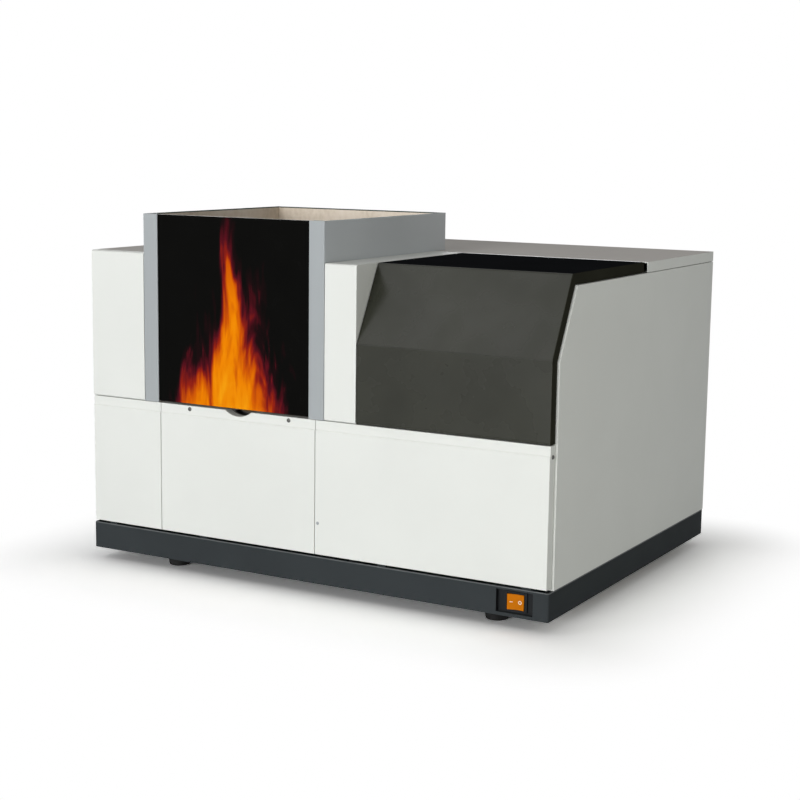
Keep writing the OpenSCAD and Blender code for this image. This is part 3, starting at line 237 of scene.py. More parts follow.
def mix_shaders(tree, share, first, second):
    """The first shader where the share is 0, the second where it is 1."""
    made = node(tree, "ShaderNodeMixShader", Fac=share)
    tree.links.new(first.outputs[0], made.inputs[1])
    tree.links.new(second.outputs[0], made.inputs[2])
    return made


def calc(tree, operation, a, b=0.0, clamp=False):
    made = tree.nodes.new("ShaderNodeMath")
    made.operation = operation
    made.use_clamp = clamp
    plug(tree, made.inputs[0], a)
    plug(tree, made.inputs[1], b)
    return made.outputs[0]


def scaled(tree, value, factor, shift):
    """A value times a factor, plus a shift."""
    return calc(tree, "ADD", calc(tree, "MULTIPLY", value, factor), shift)


def seen_rays(tree):
    """1 for the rays that show the background: straight to the camera, or by gloss or glass."""
    path = tree.nodes.new("ShaderNodeLightPath").outputs
    shown = calc(tree, "MAXIMUM", path["Is Camera Ray"], path["Is Glossy Ray"])
    return calc(tree, "MAXIMUM", shown, path["Is Transmission Ray"])


def noise(tree, place, scale, detail=2.0, distortion=0.0):
    made = node(tree, "ShaderNodeTexNoise", Vector=place, Scale=scale, Detail=detail, Distortion=distortion)
    return made.outputs[0]


def stretched(tree, place, scale):
    made = node(tree, "ShaderNodeMapping", Vector=place, Scale=scale)
    return made.outputs[0]


def swing(tree, place, scale, detail, distortion=0.0):
    """Noise on stretched coordinates, centred on 0."""
    return calc(tree, "SUBTRACT", noise(tree, stretched(tree, place, scale), 1.0, detail, distortion), 0.5)


def ramp(tree, amount, *stops):
    """Colours along a value: each stop is a place from 0 to 1 and a colour."""
    made = tree.nodes.new("ShaderNodeValToRGB")
    tree.links.new(amount, made.inputs[0])
    places = made.color_ramp.elements
    while len(places) < len(stops):
        places.new(0.5)
    for element, (position, colour) in zip(places, stops):
        element.position = position
        element.color = (*colour, 1)
    return made.outputs[0]


def spread(tree, amount, low, high):
    """A noise value from about 0.3 to 0.7, spread from low to high."""
    made = node(tree, "ShaderNodeMapRange", Value=amount)
    for name, value in (("From Min", 0.3), ("From Max", 0.7), ("To Min", low), ("To Max", high)):
        made.inputs[name].default_value = value
    return made.outputs[0]


def blank(name):
    """A new material: its tree, its shader and the piece's own coordinates."""
    material = bpy.data.materials.new(name)
    material.use_nodes = True
    tree = material.node_tree
    shader = tree.nodes["Principled BSDF"]
    place = tree.nodes.new("ShaderNodeTexCoord").outputs["Object"]
    return material, tree, shader, place


def shade(tree, shader, amount, colour, darker, low=0.3, high=0.7):
    """The base colour, which a noise value turns into a darker shade of itself."""
    dark = tuple(c * darker for c in colour)
    tree.links.new(ramp(tree, amount, (low, dark), (high, colour)), shader.inputs["Base Color"])


def roughen(tree, shader, place, grain, height, rough, patch=20.0):
    """Fine relief, and a gloss that varies a little from place to place."""
    low, high = rough
    tree.links.new(spread(tree, noise(tree, place, patch, 3.0), low, high), shader.inputs["Roughness"])
    relief = node(tree, "ShaderNodeBump", Strength=0.6, Distance=height, Height=noise(tree, place, grain))
    tree.links.new(relief.outputs[0], shader.inputs["Normal"])


# Finishes

def painted(name, colour, darker=0.95, patch=7.0, rough=(0.42, 0.52), grain=1100.0, height=0.00004,
            gloss=0.4):
    """Powder coat or satin paint: faint cloudy patches, and a fine orange-peel relief."""
    material, tree, shader, place = blank(name)
    shade(tree, shader, noise(tree, place, patch, 4.0, 0.4), colour, darker, 0.35, 0.65)
    shader.inputs["Specular IOR Level"].default_value = gloss
    roughen(tree, shader, place, grain, height, rough)
    return material


def metal(name, colour, darker=0.8, along=(1, 1, 1), patch=30.0, rough=(0.28, 0.4), grain=500.0,
          height=0.00003):
    """Bare or plated metal, with a grain that is stretched along its working direction."""
    material, tree, shader, place = blank(name)
    drawn = stretched(tree, place, along)
    shade(tree, shader, noise(tree, drawn, patch, 5.0), colour, darker)
    shader.inputs["Metallic"].default_value = 1.0
    roughen(tree, shader, drawn, grain, height, rough)
    return material


def moulded(name, colour, darker=0.85, rough=(0.4, 0.55), grain=900.0, height=0.00005, gloss=0.4):
    """Moulded plastic or rubber with a fine eroded texture."""
    material, tree, shader, place = blank(name)
    shade(tree, shader, noise(tree, place, 60.0, 4.0), colour, darker)
    shader.inputs["Specular IOR Level"].default_value = gloss
    roughen(tree, shader, place, grain, height, rough, 90.0)
    return material


def clear(name, colour, rough=0.04):
    """Glass with a faint film of dust."""
    material, tree, shader, place = blank(name)
    shade(tree, shader, noise(tree, place, 40.0, 3.0), colour, 0.93)
    shader.inputs["Transmission Weight"].default_value = 1.0
    shader.inputs["IOR"].default_value = 1.47
    tree.links.new(spread(tree, noise(tree, place, 120.0), rough, rough + 0.06), shader.inputs["Roughness"])
    return material


def heat_stained(name):
    """Steel sheet beside a flame: soft straw and beige clouds, with faint brown specks."""
    material, tree, shader, place = blank(name)
    cloud = noise(tree, stretched(tree, place, (9, 9, 6)), 1.0, 3.0, 0.3)
    speck = noise(tree, stretched(tree, place, (160, 160, 110)), 1.0, 4.0)
    stain = calc(tree, "ADD", calc(tree, "MULTIPLY", cloud, 0.75), calc(tree, "MULTIPLY", speck, 0.25))
    colour = ramp(tree, stain, (0.32, linear(206, 192, 173)), (0.45, linear(227, 215, 199)),
                  (0.58, linear(236, 226, 213)), (0.7, linear(220, 207, 188)))
    tree.links.new(colour, shader.inputs["Base Color"])
    shader.inputs["Metallic"].default_value = 0.1
    shader.inputs["Specular IOR Level"].default_value = 0.2
    roughen(tree, shader, place, 260.0, 0.00005, (0.5, 0.7))
    return material


def heat_tinted(name):
    """Titanium coloured by a flame: bare at the foot, then straw, then violet and blue at the top edge."""
    material, tree, shader, place = blank(name)
    low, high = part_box("burner_head")
    height = node(tree, "ShaderNodeSeparateXYZ", Vector=place).outputs[2]
    height = calc(tree, "DIVIDE", calc(tree, "SUBTRACT", height, low.z), high.z - low.z)
    cloud = calc(tree, "MULTIPLY", calc(tree, "SUBTRACT", noise(tree, place, 70.0, 4.0), 0.5), 0.3)
    tint = calc(tree, "ADD", height, cloud, True)
    colour = ramp(tree, tint, (0.4, linear(168, 162, 158)), (0.66, linear(182, 160, 122)),
                  (0.84, linear(140, 108, 112)), (0.98, linear(104, 114, 142)))
    tree.links.new(colour, shader.inputs["Base Color"])
    shader.inputs["Metallic"].default_value = 1.0
    roughen(tree, shader, stretched(tree, place, (1, 6, 6)), 300.0, 0.00003, (0.3, 0.45))
    return material


def circuit_board(name):
    """Green solder mask over a fine pattern of tracks."""
    material, tree, shader, place = blank(name)
    tracks = node(tree, "ShaderNodeTexBrick", Vector=place, Scale=60.0, Mortar_Size=0.03)
    for socket, colour in (("Color1", (6, 66, 40)), ("Color2", (8, 74, 46)), ("Mortar", (40, 120, 78))):
        tracks.inputs[socket].default_value = (*linear(*colour), 1)
    tree.links.new(tracks.outputs["Color"], shader.inputs["Base Color"])
    roughen(tree, shader, place, 700.0, 0.00003, (0.3, 0.42))
    return material


def ruled_grating(name):
    """Aluminised rulings: fine lines, with a drift of spectral tints painted in for the light that the
    rulings diffract.
    """
    material, tree, shader, place = blank(name)
    drift = noise(tree, stretched(tree, place, (1, 12, 30)), 4.0, 3.0)
    colour = ramp(tree, drift, (0.25, (0.55, 0.5, 0.75)), (0.42, (0.5, 0.7, 0.8)),
                  (0.58, (0.6, 0.75, 0.55)), (0.75, (0.8, 0.6, 0.5)))
    tree.links.new(colour, shader.inputs["Base Color"])
    shader.inputs["Metallic"].default_value = 1.0
    roughen(tree, shader, stretched(tree, place, (1, 900, 1)), 6.0, 0.00002, (0.12, 0.22))
    return material


def painted_flame_glow(name):
    """Near-black glass with the glow of a fire painted on as colour: maroon wisps, red flanks and an orange
    heart.
    """
    material, tree, shader, place = blank(name)
    parts = node(tree, "ShaderNodeSeparateXYZ", Vector=place).outputs
    half = (pane_high.x - pane_low.x) / 2
    middle = (pane_high.x + pane_low.x) / 2
    across = calc(tree, "DIVIDE", calc(tree, "SUBTRACT", parts[0], middle), half)
    up = calc(tree, "DIVIDE", calc(tree, "SUBTRACT", parts[2], pane_low.z), pane_high.z - pane_low.z, True)
    # The body of the fire sways, and narrows towards its tip
    sway = calc(tree, "MULTIPLY", swing(tree, place, (9, 1, 6), 2.0), scaled(tree, up, 0.7, 0.1))
    bent = calc(tree, "ABSOLUTE", calc(tree, "ADD", across, sway))
    narrowing = calc(tree, "POWER", calc(tree, "SUBTRACT", 1.0, up), 0.8)
    width = scaled(tree, narrowing, 0.6, 0.08)
    body = calc(tree, "SUBTRACT", 1.0, calc(tree, "DIVIDE", bent, width))
    # Tongues lick out of it further up, and fine streaks break it up
    tongues = swing(tree, place, (30, 1, 6.5), 3.0, 0.9)
    streaks = swing(tree, place, (95, 1, 14), 4.0, 1.2)
    licks = calc(tree, "MULTIPLY", tongues, scaled(tree, up, 2.6, 1.1))
    heat = calc(tree, "ADD", calc(tree, "MULTIPLY", body, 0.85), licks)
    heat = calc(tree, "SUBTRACT", heat, calc(tree, "MULTIPLY", up, 0.3))
    heat = calc(tree, "ADD", heat, calc(tree, "MULTIPLY", streaks, 0.35), True)
    heat = calc(tree, "MULTIPLY", heat, calc(tree, "SUBTRACT", 1.08, calc(tree, "MULTIPLY", up, 0.78)))
    colour = ramp(tree, heat, (0.0, linear(6, 6, 5)), (0.12, linear(26, 7, 10)), (0.24, linear(84, 14, 26)),
                  (0.36, linear(150, 34, 16)), (0.48, linear(206, 84, 4)), (0.66, linear(238, 132, 0)),
                  (0.92, linear(248, 164, 16)))
    tree.links.new(colour, shader.inputs["Base Color"])
    shader.inputs["Specular IOR Level"].default_value = 0.03
    tree.links.new(spread(tree, noise(tree, place, 25.0, 3.0), 0.2, 0.28), shader.inputs["Roughness"])
    return material


def mix_finishes():
    """One finish for each slot of the record, and a few for small details."""
    paints = {
        "white_paint": ((234, 236, 231), dict(darker=0.975, rough=(0.5, 0.6), gloss=0.1)),
        # Painted shade: a warmer, darker copy of the white paint for the top cover's top face
        "top_paint": ((229, 225, 220), dict(darker=0.975, rough=(0.6, 0.7), gloss=0.0)),
        "charcoal_paint": ((60, 64, 66), dict(darker=0.9, patch=9.0, rough=(0.45, 0.55), gloss=0.005)),
        # Painted highlight: a paler charcoal for the lower round of the base's rim
        "worn_charcoal": ((104, 108, 109), dict(darker=0.75, patch=60.0, rough=(0.4, 0.5), gloss=0.1)),
        "hood_paint": ((46, 47, 39), dict(darker=0.85, patch=11.0, rough=(0.24, 0.32), gloss=0.25)),
        # Painted shade: a darker, matte copy of the hood paint for the hood's top face
        "hood_top_paint": ((30, 31, 33), dict(darker=0.85, patch=11.0, rough=(0.5, 0.6), gloss=0.0)),
        # Painted shade: a matte copy of the hood paint, its colour set so the ends show their shaded level
        "hood_end_paint": ((50, 50, 42), dict(darker=0.85, patch=11.0, rough=(0.5, 0.6), gloss=0.0)),
        # Painted highlight: a lighter paint for the knee of the hood's front
        "worn_hood": ((60, 61, 56), dict(darker=0.8, patch=50.0, rough=(0.45, 0.55), gloss=0.1)),
        "grey_paint": ((168, 173, 175), dict(darker=0.96, gloss=0.25)),
        # Painted light: a lighter copy of the grey paint for the duct's walls
        "duct_wall_paint": ((206, 211, 214), dict(darker=0.96, gloss=0.25)),
        "dark_glass": ((12, 12, 11), dict(darker=0.7, patch=15.0, rough=(0.2, 0.28), gloss=0.01)),
        "black_anodised": ((38, 40, 43), dict(darker=0.85, patch=20.0, rough=(0.32, 0.42), grain=1500.0,
                                              height=0.00002, gloss=0.5)),
        "cast_grey": ((98, 103, 106), dict(darker=0.88, patch=30.0, rough=(0.45, 0.6), grain=320.0,
                                           height=0.00025, gloss=0.35)),
    }
    mouldings = {
        # Black rubber for the feet; on the base rim and in the cover joints the same black is painted shade
        "black_rubber": ((26, 26, 26), dict(darker=0.7, rough=(0.6, 0.8), grain=600.0, height=0.0001,
                                            gloss=0.25)),
        "black_plastic": ((30, 31, 32), dict(darker=0.8)),
        # The switch housing's plastic; on the walls of the tray's switch recess it is painted shade
        "switch_plastic": ((32, 34, 36), dict(gloss=0.1)),
        "orange_plastic": ((203, 114, 0), dict(darker=0.9, rough=(0.3, 0.4), grain=500.0, height=0.00002,
                                               gloss=0.06)),
        "white_polymer": ((226, 226, 218), dict(darker=0.95, rough=(0.35, 0.5))),
        "capacitor_sleeve": ((34, 42, 78), dict(rough=(0.25, 0.35), grain=400.0, height=0.00002)),
        "ceramic": ((236, 230, 218), dict(darker=0.93, rough=(0.35, 0.5))),
        "seal_green": ((22, 46, 34), dict(darker=0.7, rough=(0.5, 0.7), grain=500.0, height=0.0001,
                                          gloss=0.25)),
        "mark_white": ((245, 238, 220), dict(darker=0.95)),
    }
    metals = {
        "plated_steel": ((205, 208, 210), dict(darker=0.85)),
        # Blackened steel for the screws; on the front rail it is painted shade behind the finger notch
        "blackened_steel": ((92, 92, 90), dict(darker=0.75, rough=(0.35, 0.5))),
        "aluminium": ((200, 203, 206), dict(darker=0.93, along=(0.4, 12, 12), patch=60.0)),
        "cathode_metal": ((196, 160, 112), {}),
        "brass": ((212, 172, 92), {}),
        "mirror_coat": ((236, 240, 242), dict(darker=0.96, rough=(0.03, 0.07))),
    }
    made = {
        "heat_stained_steel": heat_stained("heat_stained_steel"),
        "tinted_titanium": heat_tinted("tinted_titanium"),
        # Painted light: the flame's glow is base colour on the glass, not a lamp
        "shield_glass": painted_flame_glow("shield_glass"),
        "lamp_glass": clear("lamp_glass", (0.96, 0.98, 0.98)),
        "lens_glass": clear("lens_glass", (0.95, 0.97, 1.0), rough=0.02),
        "circuit_board": circuit_board("circuit_board"),
        "grating_painted_tints": ruled_grating("grating_painted_tints"),
    }
    for recipe, table in ((painted, paints), (moulded, mouldings), (metal, metals)):
        for name, (colour, settings) in table.items():
            made[name] = recipe(name, linear(*colour), **settings)
    return made


# Modelling helpers: each acts on one piece that is selected on its own

def hold(piece):
    bpy.ops.object.select_all(action="DESELECT")
    piece.select_set(True)
    bpy.context.view_layer.objects.active = piece


def edit(piece):
    hold(piece)
    bpy.ops.object.mode_set(mode="EDIT")
    bpy.ops.mesh.select_mode(type="EDGE")


def done():
    bpy.ops.object.mode_set(mode="OBJECT")


def add_modifier(piece, kind, **settings):
    modifier = piece.modifiers.new(kind.lower(), kind)
    for name, value in settings.items():
        setattr(modifier, name, value)
    return modifier


def apply(piece, kind, **settings):
    hold(piece)
    modifier = add_modifier(piece, kind, **settings)
    bpy.ops.object.modifier_apply(modifier=modifier.name)


def round_edges(piece, width, segments=2):
    """Rounds every sharp edge a little and gives the flat faces flat shading."""
    apply(piece, "BEVEL", width=width, segments=segments, limit_method="ANGLE", angle_limit=math.radians(32))
    hold(piece)
    bpy.ops.object.shade_smooth_by_angle(angle=math.radians(42))
    apply(piece, "WEIGHTED_NORMAL", weight=80, keep_sharp=True)


def pick_edges(piece, test):
    """In edit mode: selects the folded edges whose two ends both pass the test."""
    fold_angle = 0.5
    mesh = bmesh.from_edit_mesh(piece.data)
    for edge in mesh.edges:
        edge.select_set(False)
    for edge in mesh.edges:
        folded = len(edge.link_faces) == 2 and edge.calc_face_angle() > fold_angle
        if folded and all(test(v.co) for v in edge.verts):
            edge.select_set(True)
    bmesh.update_edit_mesh(piece.data)


def copy_of(node_name):
    """A merged copy of a CAD node's mesh, with its flat faces whole again."""
    source = frame["nodes"][node_name]
    piece = bpy.data.objects.new("rounded_" + node_name, source.data.copy())
    bpy.context.scene.collection.objects.link(piece)
    piece.data.materials.clear()
    hold(piece)
    bpy.ops.mesh.customdata_custom_splitnormals_clear()
    edit(piece)
    bpy.ops.mesh.select_all(action="SELECT")
    bpy.ops.mesh.remove_doubles(threshold=MERGE)
    bpy.ops.mesh.dissolve_limited(angle_limit=math.radians(1))
    done()
    return piece


def loose_parts(node_name):
    """The lowest and highest corners of each separate solid of a CAD node."""
    mesh = bmesh.new()
    mesh.from_mesh(frame["nodes"][node_name].data)
    bmesh.ops.remove_doubles(mesh, verts=mesh.verts, dist=MERGE)
    waiting = set(mesh.verts)
    parts = []
    while waiting:
        found = [waiting.pop()]
        for point in found:
            near = {edge.other_vert(point) for edge in point.link_edges} & waiting
            waiting -= near
            found.extend(near)
        low, high = (Vector(pick(p.co[axis] for p in found) for axis in range(3)) for pick in (min, max))
        parts.append((low, high))
    mesh.free()
    return sorted(parts, key=lambda part: tuple(part[0]))


def dress(piece, body, slot, *nodes, finish=None):
    """Gives a piece the finish of its slot or the one named, puts it on its body, and hides the CAD nodes
    that it stands for.
    """
    piece.data.materials.clear()
    piece.data.materials.append(finishes[finish or slot])
    for face in piece.data.polygons:
        face.material_index = 0
    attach(piece, body)
    if nodes:
        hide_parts(*nodes)
    return piece


def cover(node_name, folds=(), width=0.35 * MM):
    """A sheet-metal cover: chosen outer folds get a wider radius, the other edges are only broken."""
    piece = copy_of(node_name)
    for test, radius in folds:
        edit(piece)
        pick_edges(piece, test)
        bpy.ops.mesh.bevel(offset=radius, segments=3, affect="EDGES", clamp_overlap=True)
        done()
    round_edges(piece, width)
    return dress(piece, body_of[node_name], slot_of[node_name], node_name)


def on(value, axis):
    """A test for points on the plane where that coordinate has that value."""
    return lambda p: abs(p[axis] - value) < ON_PLANE


def turned(name, steps, sides=32):
    """A turned piece on the Z axis, extruded ring by ring: each step is a radius and a height."""
    radius, height = steps[0]
    bpy.ops.object.select_all(action="DESELECT")
    bpy.ops.mesh.primitive_circle_add(vertices=sides, radius=radius, fill_type="NGON",
                                      location=(0, 0, height))
    piece = bpy.context.object
    piece.name = name
    bpy.ops.object.transform_apply(location=True, rotation=True, scale=True)
    bpy.ops.object.mode_set(mode="EDIT")
    bpy.ops.mesh.select_mode(type="FACE")
    bpy.ops.mesh.select_all(action="SELECT")
    for next_radius, next_height in steps[1:]:
        bpy.ops.mesh.extrude_region_move(TRANSFORM_OT_translate={"value": (0, 0, next_height - height)})
        share = next_radius / radius
        bpy.ops.transform.resize(value=(share, share, 1), center_override=(0, 0, next_height))
        radius, height = next_radius, next_height
    bpy.ops.mesh.select_all(action="SELECT")
    bpy.ops.mesh.normals_make_consistent(inside=False)
    done()
    return piece


def block(name, low, high):
    """A block between two corners, as a start for further shaping."""
    low, high = Vector(low), Vector(high)
    bpy.ops.object.select_all(action="DESELECT")
    bpy.ops.mesh.primitive_cube_add(size=1, location=(low + high) / 2)
    piece = bpy.context.object
    piece.name = name
    piece.scale = high - low
    bpy.ops.object.transform_apply(location=True, rotation=True, scale=True)
    return piece


def join(name, pieces):
    bpy.ops.object.select_all(action="DESELECT")
    for piece in pieces:
        piece.select_set(True)
    bpy.context.view_layer.objects.active = pieces[0]
    if len(pieces) > 1:
        bpy.ops.object.join()
    pieces[0].name = name
    return pieces[0]


def copies(name, piece, matrices):
    """Copies of a piece at several places, joined as one; the piece itself is removed."""
    made = []
    for matrix in matrices:
        twin = bpy.data.objects.new(name, piece.data.copy())
        bpy.context.scene.collection.objects.link(twin)
        twin.data.transform(matrix)
        made.append(twin)
    bpy.data.objects.remove(piece)
    return join(name, made)


def rotation(degrees, axis):
    return Matrix.Rotation(math.radians(degrees), 4, axis)


def facing(place, direction):
    """A matrix that puts a piece made on the Z axis at a place, with its axis in a direction."""
    turn = Vector((0, 0, 1)).rotation_difference(Vector(direction)).to_matrix().to_4x4()
    return Matrix.Translation(place) @ turn


def cut_by(piece, cutter):
    apply(piece, "BOOLEAN", operation="DIFFERENCE", object=cutter, solver="EXACT")
    bpy.data.objects.remove(cutter)


def finish_faces(piece, finish, test):
    """A finish of its own for the faces whose normal and middle pass the test."""
    piece.data.materials.append(finishes[finish])
    for face in piece.data.polygons:
        if test(face.normal, face.center):
            face.material_index = len(piece.data.materials) - 1


# The cabinet

def make_covers():
    """The white covers, the duct with walls painted lighter than its stiles as painted light, the top cover
    with painted shade on its top face, and the liner.
    """
    front_fold = 1.1 * MM
    for name in ("front_panel_left", "front_panel_burner", "front_panel_right"):
        cover(name, [(on(cabinet_low.y, 1), front_fold)])
    for name in ("left_upper_cover", "centre_column", "left_side_panel", "right_side_panel", "rear_panel",
                 "burner_tub"):
        cover(name)
    # Painted light: the duct's side and rear faces carry a lighter grey than its stiles
    finish_faces(cover("flame_duct"), "duct_wall_paint", lambda way, at: abs(way.x) > 0.9 or way.y > 0.9)
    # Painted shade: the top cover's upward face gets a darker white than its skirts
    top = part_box("top_cover")[1].z - 2 * MM
    finish_faces(cover("top_cover"), "top_paint", lambda way, at: way.z > 0.9 and at.z > top)
    cover("duct_liner", width=0.2 * MM)


def make_base():
    """The base tray: a painted highlight on the lower round of its rim, painted shade in black on the rim
    under the shadow gap, and painted shade on the walls of the switch recess.
    """
    rim_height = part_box("left_side_panel")[0].z
    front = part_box("base_tray")[0].y
    switch_low, switch_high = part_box("switch_housing")
    switch_x = (switch_low.x + switch_high.x) / 2
    rim_fold, rim_width = 1.5 * MM, 2 * MM
    recess_half, recess_near, recess_far = 26 * MM, 1 * MM, 6.5 * MM

    def inset(p):
        """How far a point lies inside the tray's outline; the side panels stand flush with it."""
        return min(cabinet_high.x - abs(p.x), p.y - front, cabinet_high.y - p.y)

    def on_outline(p):
        return abs(p.z - rim_height) < ON_PLANE and inset(p) < rim_fold

    def on_rim(p):
        return abs(p.z - rim_height) < rim_fold + 0.1 * MM and inset(p) < rim_width

    def in_recess(p):
        return (abs(p.x - switch_x) < recess_half and recess_near < p.y - front < recess_far
                and p.z < rim_height)

    base = cover("base_tray", [(on_outline, rim_fold)])
    # Painted highlight: the rim's lower bevel faces are painted paler than the tray
    finish_faces(base, "worn_charcoal", lambda way, at: 0.1 < way.z < 0.8 and on_rim(at))
    # Painted shade: the rim's top faces under the shadow gap are black
    finish_faces(base, "black_rubber", lambda way, at: way.z >= 0.8 and on_rim(at))
    # Painted shade: the walls of the switch recess get the dark switch plastic
    finish_faces(base, "switch_plastic", lambda way, at: way.z < 0.5 and in_recess(at))


def make_hood():
    """The lamp hood: painted shade in black on its top, its ends a matte copy of its paint with a colour set
    for shade, and a painted highlight along the knee of its front.
    """
    left_end, right_end = on(hood_low.x, 0), on(hood_high.x, 0)
    end_fold, top = 1.0 * MM, hood_high.z - 12 * MM
    hood = cover("lamp_hood", [(lambda p: left_end(p) or right_end(p), end_fold)])
    # Painted shade: the hood's top face is painted darker than its front
    finish_faces(hood, "hood_top_paint", lambda way, at: way.z > 0.9 and at.z > top)
    # Painted shade: the ends and their bevels get the matte copy set for their shaded level
    finish_faces(hood, "hood_end_paint", lambda way, at: abs(way.x) > 0.3)
    # Painted highlight: lighter paint on the faces at the knee between front and slope
    finish_faces(hood, "worn_hood", lambda way, at: way.y < -0.5 and 0.12 < way.z < 0.4 and abs(way.x) < 0.1)


def make_shield():
    """The sliding glass, with the glow of a fire painted on its front as colour and plain dark elsewhere,
    with its lift bar.
    """
    finish_faces(cover("flame_shield", width=0.4 * MM), "dark_glass", lambda way, at: way.y > -0.5)
    cover("shield_lift_bar")


def make_switch():
    """The switch's housing and its rocker, with a dash on the on side and a ring on the off side."""
    housing = cover("switch_housing", width=0.3 * MM)
    finish_faces(housing, "switch_plastic", lambda way, at: True)
    rocker = copy_of("power_rocker")
    round_edges(rocker, 0.5 * MM, 3)
    dress(rocker, "rocker", "orange_plastic", "power_rocker")
    rest_tilt = -joint["power_switch"]["range_deg"][0] / 2
    tilted = Matrix.Translation(joint["power_switch"]["pos_m"]) @ rotation(rest_tilt, "Z")
    slope = math.degrees(math.atan2(1.8, 10.85))
    mark_x, mark_y = 5.6 * MM, -5.45 * MM
    half_size, half_stroke = 1.9 * MM, 0.5 * MM
    dash = block("rocker_dash", (-half_size, -0.2 * MM, -half_stroke), (half_size, 0.3 * MM, half_stroke))
    round_edges(dash, 0.2 * MM)
    dash.data.transform(tilted @ Matrix.Translation((-mark_x, mark_y, 0)) @ rotation(slope, "Z"))
    bpy.ops.object.select_all(action="DESELECT")
    bpy.ops.mesh.primitive_torus_add(major_radius=half_size, minor_radius=half_stroke,
                                     major_segments=32, minor_segments=8)
    ring = bpy.context.object
    edit(ring)
    bpy.ops.mesh.select_all(action="SELECT")
    bpy.ops.transform.resize(value=(1, 1, 0.5), center_override=(0, 0, 0))
    done()
    ring.data.transform(tilted @ Matrix.Translation((mark_x, mark_y, 0)) @ rotation(-slope, "Z")
                        @ rotation(90, "X"))
    dress(join("rocker_marks", [dash, ring]), "rocker", "orange_plastic", finish="mark_white")


def make_notch_lip():
    """A bent lip that lines the finger notch of the burner panel, midway between the panel's two screws."""
    low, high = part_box("front_panel_burner")
    half_width, depth = 22 * MM, 8 * MM
    thickness, reach_back = 0.9 * MM, 13 * MM
    radius = (half_width ** 2 + depth ** 2) / (2 * depth)
    sweep = math.asin(half_width / radius)
    screws = [place.x for place, way in screw_places(in_feet=False) if way.y < -0.5]
    middle = Vector((sum(screws) / len(screws), low.y + 0.5 * MM, high.z - depth + radius))
    bpy.ops.object.select_all(action="DESELECT")
    bpy.ops.mesh.primitive_plane_add(size=1, location=(0, 0, 0))
    lip = bpy.context.object
    lip.name = "notch_lip"
    section = rotation(90, "Y") @ Matrix.Diagonal((thickness, reach_back, 1, 1))
    start = Matrix.Translation(middle) @ Matrix.Rotation(sweep, 4, "Y")
    lip.data.transform(start @ Matrix.Translation((0, reach_back / 2, thickness / 2 - radius)) @ section)
    edit(lip)
    bpy.ops.mesh.select_all(action="SELECT")
    bpy.ops.mesh.spin(steps=28, angle=2 * sweep, center=middle, axis=(0, 1, 0))
    bpy.ops.mesh.select_all(action="SELECT")
    bpy.ops.mesh.remove_doubles(threshold=0.000002)
    bpy.ops.mesh.fill_holes(sides=0)
    bpy.ops.mesh.normals_make_consistent(inside=False)
    done()
    round_edges(lip, 0.3 * MM)
    dress(lip, "cabinet", "white_paint")


def screw_places(in_feet):
    """Where the screws of the CAD node sit: the outer end of each head and the way it faces."""
    foot_screw_length = 12 * MM
    places = []
    for low, high in loose_parts("screws"):
        size = high - low
        if size.z > foot_screw_length:
            axis, way = 2, -1
        else:
            axis = 0 if abs(size.y - size.z) < 0.1 * MM else 1
            way = 1 if low[axis] + high[axis] > 0 else -1
        end = (low + high) / 2
        end[axis] = high[axis] if way > 0 else low[axis]
        direction = Vector((0, 0, 0))
        direction[axis] = way
        if (axis == 2) == in_feet:
            places.append((end, direction))
    return places


def screw_head(name, radius, height, shank):
    """A pan head with a cross recess; the top of the head is at the origin."""
    shank_radius, arm, half_arm = radius * 0.45, radius * 0.55, radius * 0.11
    head = turned(name, [(shank_radius, -shank), (shank_radius, -height), (radius, -height),
                         (radius * 0.98, -height * 0.65), (radius * 0.86, -height * 0.3),
                         (radius * 0.55, -height * 0.04), (radius * 0.2, 0)])
    for turn in (0, 90):
        bar = block("recess", (-arm, -half_arm, -height * 0.7), (arm, half_arm, height))
        bar.data.transform(rotation(turn, "Z"))
        cut_by(head, bar)
    round_edges(head, 0.08 * MM)
    return head


def make_screws():
    """Blackened cross-recess screws in the covers, and larger ones up inside the feet."""
    small = screw_head("cover_screws", radius=2.8 * MM, height=1.4 * MM, shank=9 * MM)
    small = copies("cover_screws", small, [facing(p, d) for p, d in screw_places(in_feet=False)])
    large = screw_head("foot_screws", radius=4.5 * MM, height=3 * MM, shank=21 * MM)
    large = copies("foot_screws", large, [facing(p, d) for p, d in screw_places(in_feet=True)])
    dress(join("cover_screws", [small, large]), "cabinet", "plated_steel", "screws", finish="blackened_steel")


def make_feet():
    """Moulded feet with a ring groove and a sunken screw."""
    places = loose_parts("rubber_feet")
    low, high = places[0]
    radius, height = (high.x - low.x) / 2, high.z
    bore = radius - 10.5 * MM
    sunk = [(bore, height - 1 * MM), (bore, 5.5 * MM), (bore, 0.5 * MM), (bore + 0.5 * MM, 0)]
    tread = [(radius - 3.4 * MM, 0), (radius - 1.8 * MM, 0.7 * MM), (radius - 1.2 * MM, 2.4 * MM)]
    groove = [(radius - 0.8 * MM, 8 * MM), (radius - 1.5 * MM, 8.5 * MM), (radius - 1.5 * MM, 9.5 * MM),
              (radius - 0.7 * MM, 10 * MM)]
    foot = turned("ribbed_feet", sunk + tread + groove + [(radius, height)], 48)
    round_edges(foot, 0.2 * MM)
    spots = [Matrix.Translation(((a.x + b.x) / 2, (a.y + b.y) / 2, 0)) for a, b in places]
    dress(copies("ribbed_feet", foot, spots), "cabinet", "black_rubber", "rubber_feet")


